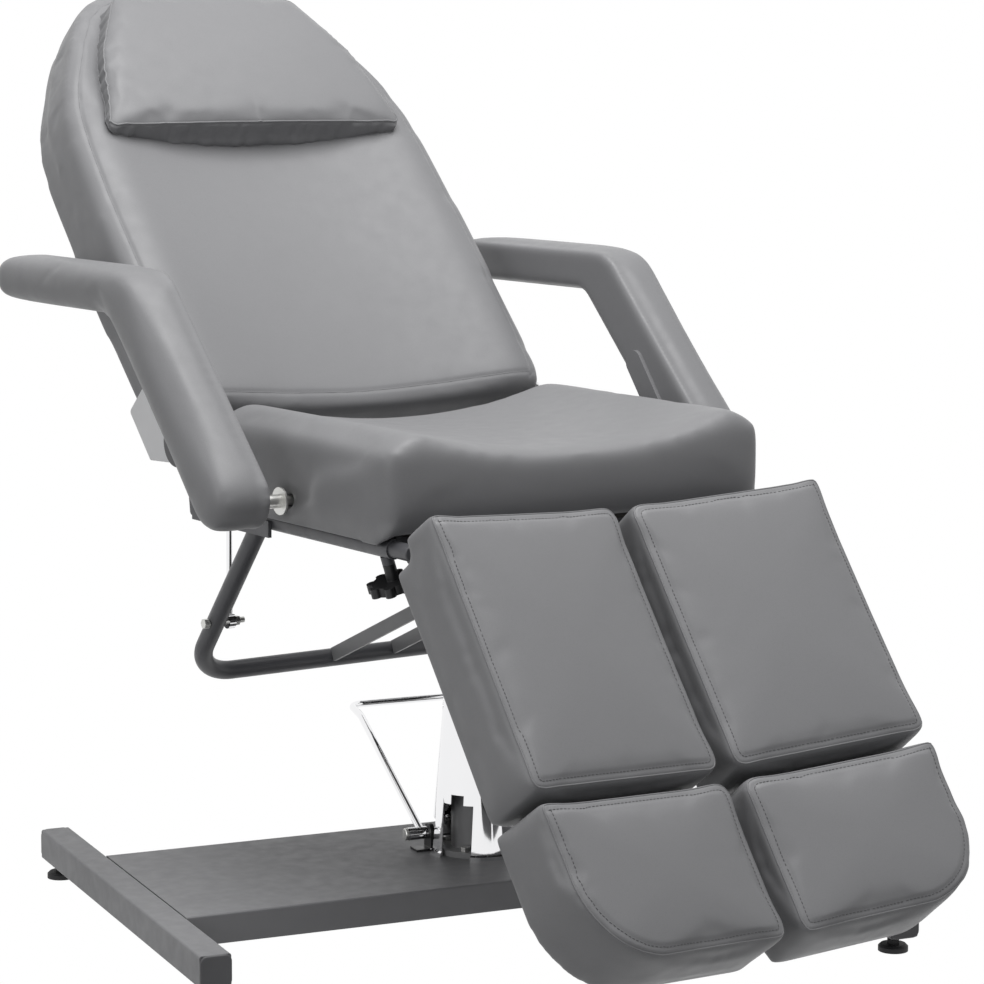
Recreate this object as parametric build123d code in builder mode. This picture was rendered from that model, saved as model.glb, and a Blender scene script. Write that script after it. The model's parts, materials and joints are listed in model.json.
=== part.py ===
"""Treatment chair: bar base, hydraulic column, bent-tube frame, seat, reclining back, arms and split leg rests.

Millimetres. The origin is on the floor under the column's axis, +Z is up, and a person on the chair faces -Y.
"""
import math
import os

from build123d import *

os.makedirs("parts", exist_ok=True)

# Clearances and stock sizes
seat_gap = 0.3          # between pieces that rest on each other
running_gap = 0.05      # radial, between a shaft and its bore
overrun = 30.0          # how far a cutting shape runs past what it cuts
cushion_gap = 3.0       # between a cushion and a metal piece inside it
sheet = 2.5
plywood = 12.0

# Base: two square tubes on feet, joined by two rails under a folded cover
base_turn = -10.44      # degrees, the base as seen against the seat
bar_width = 40.0
bar_wall = 2.0
bar_corner = 3.0
foot_height = 22.0
bar_top = foot_height + bar_width
left_bar_x = -488.0
left_bar_length = 680.0
right_bar_x = 373.0
right_bar_length = 970.0
cap_thickness = 4.0
cap_plug_depth = 18.0
cap_round = 9.0
cover_width = 334.0
cover_skirt = 38.0
rail_width = 40.0
rail_height = 30.0
rail_spread = 32.0      # from the column's axis to each rail's centre

# Levelling feet
foot_radius = 19.0
foot_pad_height = 9.0
foot_stem_radius = 5.0
foot_stem_inside = 24.0
foot_inset = 30.0       # from the bar's end to the stem
foot_nut_radius = 8.5
foot_nut_height = 6.0

# Column: pump, shroud and piston
pump_radius = 36.0
pump_flange_radius = 56.0
pump_flange_height = 8.0
pump_top = 285.0
pump_bolt_radius = 4.0
pump_bolt_clearance = 0.5
pump_head_height = 5.5
pump_nut_height = 6.5
piston_radius = 17.0
piston_neck_radius = 20.0
piston_bottom_gap = 1.0
pump_floor = 26.0
shroud_foot_radius = 66.5
shroud_foot_height = 7.0
shroud_root_radius = 63.4
shroud_top_radius = 44.5
shroud_top = 292.0
shroud_sheet = 2.0
shroud_slot_width = 45.0
shroud_slot_top = 147.0
shroud_slot_step = 13.0
shroud_slot_turn = 217.3     # degrees about the column, in the base's own directions
shroud_notch_turn = 153.0
shroud_notch_width = 46.0
shroud_notch_top = 108.0

# Foot pedal
pedal_rod_radius = 5.0
pedal_axis_y = 28.0
pedal_axis_z = 85.0
pedal_barrel_radius = 8.5
pedal_barrel_left = -91.0
pedal_barrel_length = 29.0
pedal_pin_radius = 5.0
pedal_pin_head = 8.0
pedal_pin_head_length = 4.0
pedal_lug_thickness = 6.0
pedal_lug_width = 24.0
pedal_lug_foot = 26.0
pedal_arm_x = -72.0
pedal_rise_x = -52.0
pedal_rise_y = 292.0
pedal_rise_z = 191.0
pedal_bar_x = -44.0
pedal_bar_y = 355.0
pedal_bar_z = 195.0
pedal_bar_end = 150.0
pedal_bend = 20.0

# Bent-tube frame under the seat
tube_radius = 12.7
tube_wall = 2.0
frame_half_width = 270.0
rail_z = 521.0
rail_front_y = -215.0
leg_top_y = 103.0
cross_y = 298.0
cross_z = 281.0
frame_top_bend = 32.0
frame_low_bend = 62.0
strap_x = 50.0
strap_thickness = 5.0
strap_height = 19.0
strap_front_y = -196.0
front_bar_width = 25.0
front_bar_y = -185.0
saddle_half_length = 75.0
saddle_thickness = 8.0
saddle_cheek = 5.0
hub_radius = 32.0
hub_bottom = 306.0
hub_socket_top = 386.0
rear_bar_y = 60.0

# Seat
seat_half_width = 296.0
seat_front_y = -243.0
seat_rear_y = 213.0
seat_bottom = 525.0
seat_edge_top = 640.0
seat_crest_top = 659.0
seat_dish_top = 624.0
seat_crest_x = 246.0
seat_front_round = 46.0
seat_draw_in = 4.0
seat_round = 24.0
seat_board_bottom = rail_z + tube_radius + seat_gap
seat_board_half_width = 252.0
seat_board_front_y = -225.0
seat_board_rear_y = 200.0

# Armrest pivots
arm_pivot_y = 13.0
arm_pivot_z = 556.0
arm_bolt_radius = 6.0
arm_lug_thickness = 8.0
arm_lug_width = 40.0
arm_washer_radius = 18.0
arm_washer_thickness = 3.0
arm_spacer_radius = 9.0
arm_nut_radius = 10.0
arm_nut_length = 8.0
arm_centre_x = 391.0
arm_width = 80.0
arm_plate_thickness = 6.0
arm_leg_thickness = 82.0
arm_low_y = -20.0
arm_low_z = 570.0
arm_top_z = 845.0
arm_under_z = 786.0
arm_tip_y = 586.0
arm_outer_bend = 70.0
arm_inner_bend = 34.0
arm_edge_round = 14.0
arm_plate_reach = 150.0
arm_plate_width = 34.0

# Backrest
back_turn = 46.6        # degrees above level
back_foot_y = 243.8
back_foot_z = 654.0
back_thickness = 120.0
back_dish = 30.0
back_crest_x = 250.0
back_edge_drop = 12.0
back_length = 825.0
back_half_width = 306.0
back_end_round = 26.0
hinge_y = 262.0
hinge_z = 606.0
hinge_pin_radius = 6.0
hinge_plate_thickness = 5.0
hinge_pin_head = 4.0
bracket_bar = 22.0
bracket_eye_radius = 19.0
lever_x = 303.0
lever_disc_radius = 28.0
cover_disc_radius = 33.0
cover_disc_thickness = 5.0
lever_flange_reach = 70.0
lever_up = 88.0
link_y = 228.0
link_z = 594.0
link_pin_radius = 4.0

# Backrest struts
strut_x = 250.0
strut_y = 228.3
strut_bolt_z = 363.5
strut_rod_radius = 4.0
strut_rod_top = 560.0
strut_eye_radius = 10.0
strut_eye_half_width = 5.0
strut_bolt_radius = 4.0
strut_nut_length = 8.0
sleeve_radius = 10.0
sleeve_bore = 7.0
sleeve_bottom = 500.0
sleeve_bore_top = 580.0

# Pillow, on the backrest
pillow_low = 484.0
pillow_low_half_width = 255.0
pillow_high = 760.0
pillow_top_half_width = 95.0
pillow_proud = 20.0
pillow_edge = 6.0
pillow_gap = 0.6

# Leg rests
leg_turn = 53.1         # degrees below level
leg_roll = 5.2          # degrees, outer edges raised
leg_root_x = 8.7
leg_root_y = -317.4
leg_root_z = 575.9
leg_width = 294.8
calf_length = 375.0
leg_thickness = 105.0
leg_crown = 8.0
leg_crown_reach = 6.0    # how far the crown's arcs run past the panel's edges
foot_start = 385.0
foot_end = 594.0
foot_big_round = 110.0
leg_corner = 15.0
leg_axis_y = -248.0
leg_axis_z = 515.0
leg_shaft_radius = 8.0
leg_shaft_inner_x = 30.0
leg_eye_radius = 13.0
leg_eye_width = 20.0
leg_draw_in = 3.0
calf_start = 4.0
leg_rebate_depth = 72.0
leg_rebate_end = 33.0
leg_strap_places = [40.0, 225.0]
strip_thickness = 5.0
leg_recess = 8.0         # how far the strips reach into the rebate above the board
leg_board_start = 36.0
leg_board_inset = 20.0
carrier_radius = 10.6
carrier_inside = 110.0
carrier_front_y = -256.0
rod_radius = 6.0
rod_sleeve_radius = 9.0
rod_sleeve_length = 150.0
rod_reach = 170.0

# Star knobs
knob_radius = 35.0
knob_height = 12.0
knob_lobes = 8
knob_lobe_radius = 7.0
knob_stem_radius = 4.0
knob_drop = 50.0        # from the rail's centre to the knob's middle
knob_lean = 18.0        # degrees from upright
knob_y = -190.0
boss_radius = 8.0
boss_height = 10.0

base_plane = Plane.XY.rotated((0, 0, base_turn))


def write_piece(piece, name):
    """Label a finished piece and write its STEP file."""
    piece.label = name
    export_step(piece, f"parts/{name}.step")


def write_pair(right_piece, name):
    """Write a piece of the chair's right-hand side and its mirror image on the left."""
    with BuildPart() as left:
        mirror(right_piece, about=Plane.YZ)
    write_piece(right_piece, f"{name}_right")
    write_piece(left.part, f"{name}_left")


def both_sides(right_piece):
    """One group that holds a right-hand piece and its mirror image."""
    with BuildPart() as pair:
        add(right_piece)
        mirror(right_piece, about=Plane.YZ)
    return pair.part


def base_at(x, y, z):
    """A level plane at a place given in the base's own directions."""
    return Plane(base_plane.from_local_coords(Vector(x, y, z)), x_dir=base_plane.x_dir, z_dir=(0, 0, 1))


def side_plane(x):
    """A plane across the chair at x, with Y to its right and Z up."""
    return Plane(origin=(x, 0, 0), x_dir=(0, 1, 0), z_dir=(1, 0, 0))


def knob_plane(side):
    """A plane on a rail's centre line that faces down and inwards, the way the star knob's screw points."""
    lean = math.radians(knob_lean)
    return Plane(
        origin=(side * frame_half_width, knob_y, rail_z),
        x_dir=(0, 1, 0),
        z_dir=(-side * math.sin(lean), 0, -math.cos(lean)),
    )


# Base bars
def make_bar(x, length):
    tube_length = length - 2 * cap_thickness
    start = Plane(
        base_plane.from_local_coords(Vector(x, -tube_length / 2, bar_top - bar_width / 2)),
        x_dir=base_plane.x_dir,
        z_dir=base_plane.y_dir,
    )
    with BuildPart() as bar:
        with BuildSketch(start):
            RectangleRounded(bar_width, bar_width, bar_corner)
            RectangleRounded(
                bar_width - 2 * bar_wall, bar_width - 2 * bar_wall, bar_corner - bar_wall, mode=Mode.SUBTRACT
            )
        extrude(amount=tube_length)
        for side in (-1, 1):
            with BuildSketch(base_at(x, side * (length / 2 - foot_inset), foot_height - overrun)):
                Circle(foot_stem_radius + running_gap)
            extrude(amount=overrun + bar_width / 2, mode=Mode.SUBTRACT)
    return bar.part


def make_cap(x, y, side):
    out = base_plane.y_dir * side
    start = Plane(
        base_plane.from_local_coords(Vector(x, y, bar_top - bar_width / 2)), x_dir=base_plane.x_dir, z_dir=out
    )
    plug = bar_width - 2 * bar_wall - 2 * seat_gap
    with BuildPart() as cap:
        with BuildSketch(start):
            RectangleRounded(bar_width, bar_width, cap_round)
        extrude(amount=cap_thickness)
        fillet(cap.edges().group_by(Axis(start.origin, out))[-1], cap_thickness / 2)
        with BuildSketch(start):
            Rectangle(plug, plug)
            Rectangle(plug - 2 * sheet, plug - 2 * sheet, mode=Mode.SUBTRACT)
        extrude(amount=-cap_plug_depth)
    return cap.part


def make_foot(x, y):
    with BuildPart() as foot:
        with BuildSketch(base_at(x, y, 0)):
            Circle(foot_radius)
        extrude(amount=foot_pad_height)
        chamfer(foot.edges().group_by(Axis.Z)[-1], foot_pad_height / 3)
        with BuildSketch(base_at(x, y, foot_pad_height)):
            RegularPolygon(foot_nut_radius, 6)
        extrude(amount=foot_nut_height)
        with BuildSketch(base_at(x, y, foot_pad_height + foot_nut_height)):
            Circle(foot_stem_radius)
        extrude(amount=foot_height + foot_stem_inside - foot_pad_height - foot_nut_height)
        chamfer(foot.edges().group_by(Axis.Z)[-1], foot_stem_radius / 5)
    return foot.part


write_piece(make_bar(left_bar_x, left_bar_length), "base_bar_left")
write_piece(make_bar(right_bar_x, right_bar_length), "base_bar_right")

bar_ends = [
    (left_bar_x, -1, left_bar_length, "front_left"),
    (left_bar_x, 1, left_bar_length, "rear_left"),
    (right_bar_x, -1, right_bar_length, "front_right"),
    (right_bar_x, 1, right_bar_length, "rear_right"),
]
with BuildPart() as end_caps:
    for bar_x, side, length, place in bar_ends:
        add(make_cap(bar_x, side * (length / 2 - cap_thickness), side))
write_piece(end_caps.part, "bar_end_caps")
for bar_x, side, length, place in bar_ends:
    write_piece(make_foot(bar_x, side * (length / 2 - foot_inset)), f"levelling_foot_{place}")

# Two rails butt against the bars' inner sides and carry the pump
rail_left = left_bar_x + bar_width / 2
rail_right = right_bar_x - bar_width / 2
rail_top = bar_top - sheet
bolt_places = [(sx * rail_spread, sy * rail_spread) for sx in (-1, 1) for sy in (-1, 1)]
with BuildPart() as base_rails:
    for side in (-1, 1):
        rail_end = Plane(
            base_plane.from_local_coords(Vector(rail_left, side * rail_spread, rail_top - rail_height / 2)),
            x_dir=base_plane.y_dir,
            z_dir=base_plane.x_dir,
        )
        with BuildSketch(rail_end):
            Rectangle(rail_width, rail_height)
            Rectangle(rail_width - 2 * bar_wall, rail_height - 2 * bar_wall, mode=Mode.SUBTRACT)
        extrude(amount=rail_right - rail_left)
    for bolt_x, bolt_y in bolt_places:
        with BuildSketch(base_at(bolt_x, bolt_y, rail_top - rail_height / 2)):
            Circle(pump_bolt_radius + pump_bolt_clearance)
        extrude(amount=rail_height, mode=Mode.SUBTRACT)
write_piece(base_rails.part, "base_rails")

# The cover is one folded sheet with its skirts turned down
cover_face = Plane(
    base_plane.from_local_coords(Vector(rail_left + seat_gap, 0, bar_top)),
    x_dir=base_plane.y_dir,
    z_dir=base_plane.x_dir,
)
with BuildPart() as base_cover:
    with BuildSketch(cover_face):
        with BuildLine():
            Polyline(
                (-cover_width / 2, -cover_skirt),
                (-cover_width / 2, 0),
                (cover_width / 2, 0),
                (cover_width / 2, -cover_skirt),
                (cover_width / 2 - sheet, -cover_skirt),
                (cover_width / 2 - sheet, -sheet),
                (-cover_width / 2 + sheet, -sheet),
                (-cover_width / 2 + sheet, -cover_skirt),
                close=True,
            )
        make_face()
    extrude(amount=rail_right - rail_left - 2 * seat_gap)
    fillet(base_cover.edges().filter_by(Axis(base_plane.origin, base_plane.x_dir)).group_by(Axis.Z)[-1], sheet)
    for bolt_x, bolt_y in bolt_places:
        with BuildSketch(base_at(bolt_x, bolt_y, bar_top - overrun)):
            Circle(pump_bolt_radius + pump_bolt_clearance)
        extrude(amount=2 * overrun, mode=Mode.SUBTRACT)
write_piece(base_cover.part, "base_cover")

# Pump body: bolted flange, barrel with its piston bore, and an ear for the pedal pin
with BuildPart() as pump_body:
    with BuildSketch(base_at(0, 0, bar_top)):
        Circle(pump_flange_radius)
    extrude(amount=pump_flange_height)
    with BuildSketch(base_at(0, 0, bar_top)):
        Circle(pump_radius)
    extrude(amount=pump_top - bar_top)
    fillet(pump_body.edges().group_by(Axis.Z)[-1], seat_gap * 5)
    with BuildSketch(base_at(0, 0, bar_top + pump_floor)):
        Circle(piston_radius + running_gap)
    extrude(amount=pump_top, mode=Mode.SUBTRACT)
    for bolt_x, bolt_y in bolt_places:
        with BuildSketch(base_at(bolt_x, bolt_y, bar_top)):
            Circle(pump_bolt_radius + pump_bolt_clearance)
        extrude(amount=pump_flange_height, mode=Mode.SUBTRACT)
write_piece(pump_body.part, "pump_body")

# Bolts hold the pump's flange and the cover down on the rails
with BuildPart() as pump_bolts:
    for bolt_x, bolt_y in bolt_places:
        bolt_head_z = bar_top + pump_flange_height
        bolt_nut_z = rail_top - bar_wall - pump_nut_height
        with BuildSketch(base_at(bolt_x, bolt_y, bolt_head_z)):
            RegularPolygon(pump_bolt_radius * 1.6, 6)
        extrude(amount=pump_head_height)
        with BuildSketch(base_at(bolt_x, bolt_y, bolt_nut_z)):
            Circle(pump_bolt_radius)
        extrude(amount=bolt_head_z - bolt_nut_z)
        with BuildSketch(base_at(bolt_x, bolt_y, bolt_nut_z)):
            RegularPolygon(pump_bolt_radius * 1.6, 6)
        extrude(amount=pump_nut_height)
write_piece(pump_bolts.part, "pump_bolts")


# Shroud: a thin cone on a flared foot, cut away for the pump's front and for the pedal
def shroud_cut(turn, width, top):
    """A cutter that opens one side of the shroud from the floor plate up."""
    cut_plane = base_at(0, 0, bar_top).rotated((0, 0, turn))
    with BuildPart() as cutter:
        with BuildSketch(cut_plane):
            with Locations((shroud_foot_radius, 0)):
                Rectangle(shroud_foot_radius * 2 - pump_radius, width)
        extrude(amount=top - bar_top)
    return cutter.part


with BuildPart() as column_shroud:
    with BuildSketch(Plane.XZ):
        with BuildLine():
            shroud_flare_top = bar_top + shroud_foot_height
            Polyline(
                (shroud_foot_radius - shroud_foot_height, bar_top),
                (shroud_foot_radius, bar_top),
                (shroud_foot_radius, shroud_flare_top - shroud_sheet),
                (shroud_root_radius, shroud_flare_top),
                (shroud_top_radius, shroud_top),
                (shroud_top_radius - shroud_sheet, shroud_top),
                (shroud_root_radius - shroud_sheet, shroud_flare_top),
                close=True,
            )
        make_face()
    revolve(axis=Axis.Z)
    add(shroud_cut(shroud_slot_turn, shroud_slot_width, shroud_slot_top - shroud_slot_step), mode=Mode.SUBTRACT)
    add(shroud_cut(shroud_slot_turn, shroud_slot_width - 2 * shroud_slot_step, shroud_slot_top), mode=Mode.SUBTRACT)
    add(shroud_cut(shroud_notch_turn, shroud_notch_width, shroud_notch_top), mode=Mode.SUBTRACT)
write_piece(column_shroud.part, "column_shroud")


# Pedal bearing: an upright lug on the cover with the pedal's pin through it
def along_base_x(x, y, z):
    """A plane at a place in the base's own directions, facing along the base's X."""
    return Plane(
        base_plane.from_local_coords(Vector(x, y, z)), x_dir=base_plane.y_dir, z_dir=base_plane.x_dir
    )


pedal_lug_x = pedal_barrel_left + pedal_barrel_length + seat_gap
with BuildPart() as pedal_bracket:
    with BuildSketch(along_base_x(pedal_lug_x, pedal_axis_y, pedal_axis_z)):
        Circle(pedal_lug_width / 2)
        with Locations((0, (bar_top - pedal_axis_z) / 2)):
            Rectangle(pedal_lug_width, pedal_axis_z - bar_top)
        Circle(pedal_pin_radius + running_gap, mode=Mode.SUBTRACT)
    extrude(amount=pedal_lug_thickness)
    with BuildSketch(base_at(pedal_lug_x, pedal_axis_y, bar_top)):
        with Locations((pedal_lug_thickness - pedal_lug_foot / 2, 0)):
            Rectangle(pedal_lug_foot, pedal_lug_width)
    extrude(amount=pedal_lug_thickness / 2)
write_piece(pedal_bracket.part, "pedal_bracket")

pedal_pin_start = pedal_barrel_left - seat_gap - pedal_pin_head_length
pedal_pin_end = pedal_lug_x + pedal_lug_thickness + pedal_lug_thickness
with BuildPart() as pedal_pin:
    with BuildSketch(along_base_x(pedal_pin_start, pedal_axis_y, pedal_axis_z)):
        Circle(pedal_pin_head)
    extrude(amount=pedal_pin_head_length)
    with BuildSketch(along_base_x(pedal_pin_start, pedal_axis_y, pedal_axis_z)):
        Circle(pedal_pin_radius)
    extrude(amount=pedal_pin_end - pedal_pin_start)
    chamfer(pedal_pin.edges().group_by(Axis(base_plane.origin, base_plane.x_dir))[0], pedal_pin_head / 8)
write_piece(pedal_pin.part, "pedal_pin")

# Pedal: a barrel on the pin, an arm that rises behind the column and a foot bar across
pedal_points = [
    (pedal_arm_x, pedal_axis_y, pedal_axis_z + pedal_barrel_radius / 2),
    (pedal_rise_x, pedal_rise_y, pedal_rise_z),
    (pedal_bar_x, pedal_bar_y, pedal_bar_z),
    (pedal_bar_end, pedal_bar_y, pedal_bar_z),
]
pedal_path_points = [base_plane.from_local_coords(Vector(*point)) for point in pedal_points]
with BuildPart() as pump_pedal:
    with BuildLine():
        pedal_path = FilletPolyline(*pedal_path_points, radius=pedal_bend)
    with BuildSketch(Plane(pedal_path @ 0, z_dir=pedal_path % 0)):
        Circle(pedal_rod_radius)
    sweep(path=pedal_path)
    fillet(pump_pedal.edges().group_by(Axis(base_plane.origin, base_plane.x_dir))[-1], pedal_rod_radius / 2)
    with BuildSketch(along_base_x(pedal_barrel_left, pedal_axis_y, pedal_axis_z)):
        Circle(pedal_barrel_radius)
    extrude(amount=pedal_barrel_length)
    with BuildSketch(along_base_x(pedal_barrel_left, pedal_axis_y, pedal_axis_z)):
        Circle(pedal_pin_radius + running_gap)
    extrude(amount=pedal_barrel_length, mode=Mode.SUBTRACT)
write_piece(pump_pedal.part, "pump_pedal")

# Lift piston, with a thicker neck that seats in the hub's socket
piston_bottom = bar_top + pump_floor + piston_bottom_gap
with BuildPart() as lift_piston:
    with BuildSketch(Plane.XY.offset(piston_bottom)):
        Circle(piston_radius)
    extrude(amount=pump_top + 2 * seat_gap - piston_bottom)
    with BuildSketch(Plane.XY.offset(pump_top + 2 * seat_gap)):
        Circle(piston_neck_radius)
    extrude(amount=hub_socket_top - seat_gap - pump_top - 2 * seat_gap)
    chamfer(lift_piston.edges().group_by(Axis.Z)[0], piston_radius / 10)
    chamfer(lift_piston.edges().group_by(Axis.Z)[-1], piston_radius / 10)
write_piece(lift_piston.part, "lift_piston")

# Swivel saddle: the hub with its socket under a channel with two cheeks
saddle_top = rail_z - front_bar_width / 2
saddle_half_width = strap_x - strap_thickness / 2 - seat_gap
with BuildPart() as swivel_saddle:
    with BuildSketch(Plane.XY.offset(hub_bottom)):
        Circle(hub_radius)
    extrude(amount=saddle_top - hub_bottom)
    with BuildSketch(Plane.XY.offset(saddle_top - saddle_thickness)):
        Rectangle(2 * saddle_half_width, 2 * saddle_half_length)
    extrude(amount=saddle_thickness)
    for side in (-1, 1):
        cheek_start = side_plane(side * saddle_half_width)
        with BuildSketch(cheek_start):
            with BuildLine():
                Polyline(
                    (-saddle_half_length, saddle_top),
                    (-saddle_half_length, saddle_top - 2 * saddle_thickness),
                    (-hub_radius, hub_socket_top),
                    (hub_radius, hub_socket_top - 4 * saddle_thickness),
                    (saddle_half_length, hub_socket_top - 4 * saddle_thickness),
                    (saddle_half_length, saddle_top),
                    close=True,
                )
            make_face()
        extrude(amount=-side * saddle_cheek)
    with BuildSketch(Plane.XY.offset(hub_bottom)):
        Circle(piston_neck_radius + running_gap)
    extrude(amount=hub_socket_top - hub_bottom, mode=Mode.SUBTRACT)
write_piece(swivel_saddle.part, "swivel_saddle")

# Frame tube: one length bent into two rails, two rear legs and the cross tube that joins them
frame_points = [
    (-frame_half_width, rail_front_y, rail_z),
    (-frame_half_width, leg_top_y, rail_z),
    (-frame_half_width, cross_y, cross_z),
    (frame_half_width, cross_y, cross_z),
    (frame_half_width, leg_top_y, rail_z),
    (frame_half_width, rail_front_y, rail_z),
]
frame_bends = [frame_top_bend, frame_low_bend, frame_low_bend, frame_top_bend]
with BuildPart() as frame_tube:
    with BuildLine():
        frame_path = FilletPolyline(*frame_points, radius=frame_bends)
    with BuildSketch(Plane(frame_path @ 0, z_dir=frame_path % 0)):
        Circle(tube_radius)
        Circle(tube_radius - tube_wall, mode=Mode.SUBTRACT)
    sweep(path=frame_path)
    with BuildSketch(Plane(origin=(0, strut_y, strut_bolt_z), z_dir=(1, 0, 0))):
        Circle(strut_bolt_radius + seat_gap)
    extrude(amount=frame_half_width + overrun, both=True, mode=Mode.SUBTRACT)
    for side in (-1, 1):
        boss_plane = knob_plane(side)
        with BuildSketch(boss_plane.offset(tube_radius - tube_wall / 2)):
            Circle(boss_radius)
        extrude(amount=boss_height + tube_wall / 2)
        with BuildSketch(boss_plane):
            Circle(knob_stem_radius + running_gap)
        extrude(amount=tube_radius + boss_height + overrun, mode=Mode.SUBTRACT)
write_piece(frame_tube.part, "frame_tube")

# Cross bars join the rails: the front and rear ones carry the saddle's top and the straps
cross_bar_half = frame_half_width - tube_radius - seat_gap
with BuildPart() as cross_bars:
    for bar_y in (front_bar_y, -rear_bar_y, rear_bar_y):
        with BuildSketch(Plane(origin=(-cross_bar_half, bar_y, rail_z), x_dir=(0, 1, 0), z_dir=(1, 0, 0))):
            Rectangle(front_bar_width, front_bar_width)
            Rectangle(front_bar_width - 2 * bar_wall, front_bar_width - 2 * bar_wall, mode=Mode.SUBTRACT)
        extrude(amount=2 * cross_bar_half)
write_piece(cross_bars.part, "cross_bars")

# Straps: flat bars on edge from the rear cross tube past the saddle's cheeks to the front cross bar
strap_rear_z = cross_z + tube_radius / 2
strap_rear_y = cross_y - math.sqrt(tube_radius**2 - (tube_radius / 2) ** 2) - seat_gap
strap_front_z = rail_z - front_bar_width / 2 - seat_gap - strap_height / 2
strap_length = math.hypot(strap_rear_y - strap_front_y, strap_front_z - strap_rear_z)
strap_slope = math.degrees(math.atan2(strap_front_z - strap_rear_z, strap_rear_y - strap_front_y))
with BuildPart() as straps:
    for side in (-1, 1):
        strap_side = Plane(
            origin=(side * strap_x, strap_rear_y, strap_rear_z),
            x_dir=(0, -math.cos(math.radians(strap_slope)), math.sin(math.radians(strap_slope))),
            z_dir=(1, 0, 0),
        )
        with BuildSketch(strap_side):
            with Locations((strap_length / 2, 0)):
                Rectangle(strap_length, strap_height)
        extrude(amount=strap_thickness / 2, both=True)
write_piece(straps.part, "straps")


# Cushions are prisms with drawn-in outlines, cut to their crowned section and their rounded ends
def crowned(part_outline, across, along):
    """The space that three prisms share."""
    with BuildPart() as form:
        add(part_outline)
        add(across, mode=Mode.INTERSECT)
        add(along, mode=Mode.INTERSECT)
    return form.part


# Seat cushion: dished between soft crests, with a rounded front edge
with BuildPart() as seat_outline:
    with BuildSketch(Plane.XY.offset(seat_bottom)) as seat_sketch:
        with BuildLine():
            seat_mid_y = (seat_front_y + seat_rear_y) / 2
            Line((0, seat_front_y), (seat_half_width, seat_front_y))
            ThreePointArc(
                (seat_half_width, seat_front_y),
                (seat_half_width - seat_draw_in, seat_mid_y),
                (seat_half_width, seat_rear_y),
            )
            Line((seat_half_width, seat_rear_y), (0, seat_rear_y))
            mirror(about=Plane.YZ)
        make_face()
        fillet(seat_sketch.vertices().group_by(Axis.X)[0] + seat_sketch.vertices().group_by(Axis.X)[-1], seat_round)
    extrude(amount=seat_crest_top - seat_bottom)
with BuildPart() as seat_across:
    with BuildSketch(Plane(origin=(0, seat_rear_y + overrun, 0), x_dir=(1, 0, 0), z_dir=(0, -1, 0))):
        with BuildLine():
            Polyline(
                (-seat_crest_x, seat_crest_top),
                (-seat_half_width, seat_edge_top),
                (-seat_half_width, seat_bottom),
                (seat_half_width, seat_bottom),
                (seat_half_width, seat_edge_top),
                (seat_crest_x, seat_crest_top),
            )
            ThreePointArc((-seat_crest_x, seat_crest_top), (0, seat_dish_top), (seat_crest_x, seat_crest_top))
        make_face()
    extrude(amount=seat_rear_y - seat_front_y + 2 * overrun)
with BuildPart() as seat_along:
    with BuildSketch(side_plane(-seat_half_width - overrun)) as seat_side:
        with Locations(((seat_front_y + seat_rear_y) / 2, (seat_bottom + seat_crest_top) / 2)):
            Rectangle(seat_rear_y - seat_front_y, seat_crest_top - seat_bottom)
        fillet(seat_side.vertices().group_by(Axis.Y)[0].group_by(Axis.Z)[-1], seat_front_round)
        fillet(seat_side.vertices().group_by(Axis.Y)[-1].group_by(Axis.Z)[-1], seat_front_round / 2)
    extrude(amount=2 * seat_half_width + 2 * overrun)
seat_pocket_half = frame_half_width + tube_radius + seat_gap * 4
seat_pocket_top = seat_board_bottom + plywood + seat_gap
with BuildPart() as seat_cushion:
    add(crowned(seat_outline.part, seat_across.part, seat_along.part))
    with BuildSketch(Plane.XY.offset(seat_bottom - overrun)):
        with Locations((0, (seat_board_front_y + seat_board_rear_y) / 2)):
            Rectangle(2 * seat_pocket_half, seat_board_rear_y - seat_board_front_y + 4 * seat_gap)
    extrude(amount=seat_pocket_top - seat_bottom + overrun, mode=Mode.SUBTRACT)
    for side in (-1, 1):
        with BuildSketch(Plane.XY.offset(seat_bottom - overrun)):
            with Locations((side * frame_half_width, arm_pivot_y)):
                Rectangle(arm_lug_thickness + 2 * cushion_gap, arm_lug_width + 2 * cushion_gap)
        extrude(amount=arm_pivot_z + arm_lug_width / 2 + cushion_gap - seat_bottom + overrun, mode=Mode.SUBTRACT)
        with BuildSketch(side_plane(side * frame_half_width)):
            with Locations((arm_pivot_y, arm_pivot_z)):
                Circle(arm_bolt_radius + cushion_gap)
        extrude(amount=side * (seat_half_width - frame_half_width + overrun), mode=Mode.SUBTRACT)
        with BuildSketch(side_plane(side * (frame_half_width - arm_nut_length * 2))):
            with Locations((arm_pivot_y, arm_pivot_z)):
                Circle(arm_nut_radius + cushion_gap)
        extrude(amount=side * arm_nut_length * 2, mode=Mode.SUBTRACT)
        with BuildSketch(Plane(origin=(side * frame_half_width, seat_front_y - overrun, rail_z), z_dir=(0, 1, 0))):
            Circle(carrier_radius + cushion_gap)
        extrude(amount=2 * overrun, mode=Mode.SUBTRACT)
    with BuildSketch(side_plane(0)):
        with Locations((leg_axis_y, leg_axis_z)):
            Circle(leg_eye_radius + cushion_gap)
    extrude(amount=seat_half_width + overrun, both=True, mode=Mode.SUBTRACT)
write_piece(seat_cushion.part, "seat_cushion")

with BuildPart() as seat_board:
    with BuildSketch(Plane.XY.offset(seat_board_bottom)):
        with Locations((0, (seat_board_front_y + seat_board_rear_y) / 2)):
            RectangleRounded(2 * seat_board_half_width, seat_board_rear_y - seat_board_front_y, seat_round)
    extrude(amount=plywood)
write_piece(seat_board.part, "seat_board")

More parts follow.
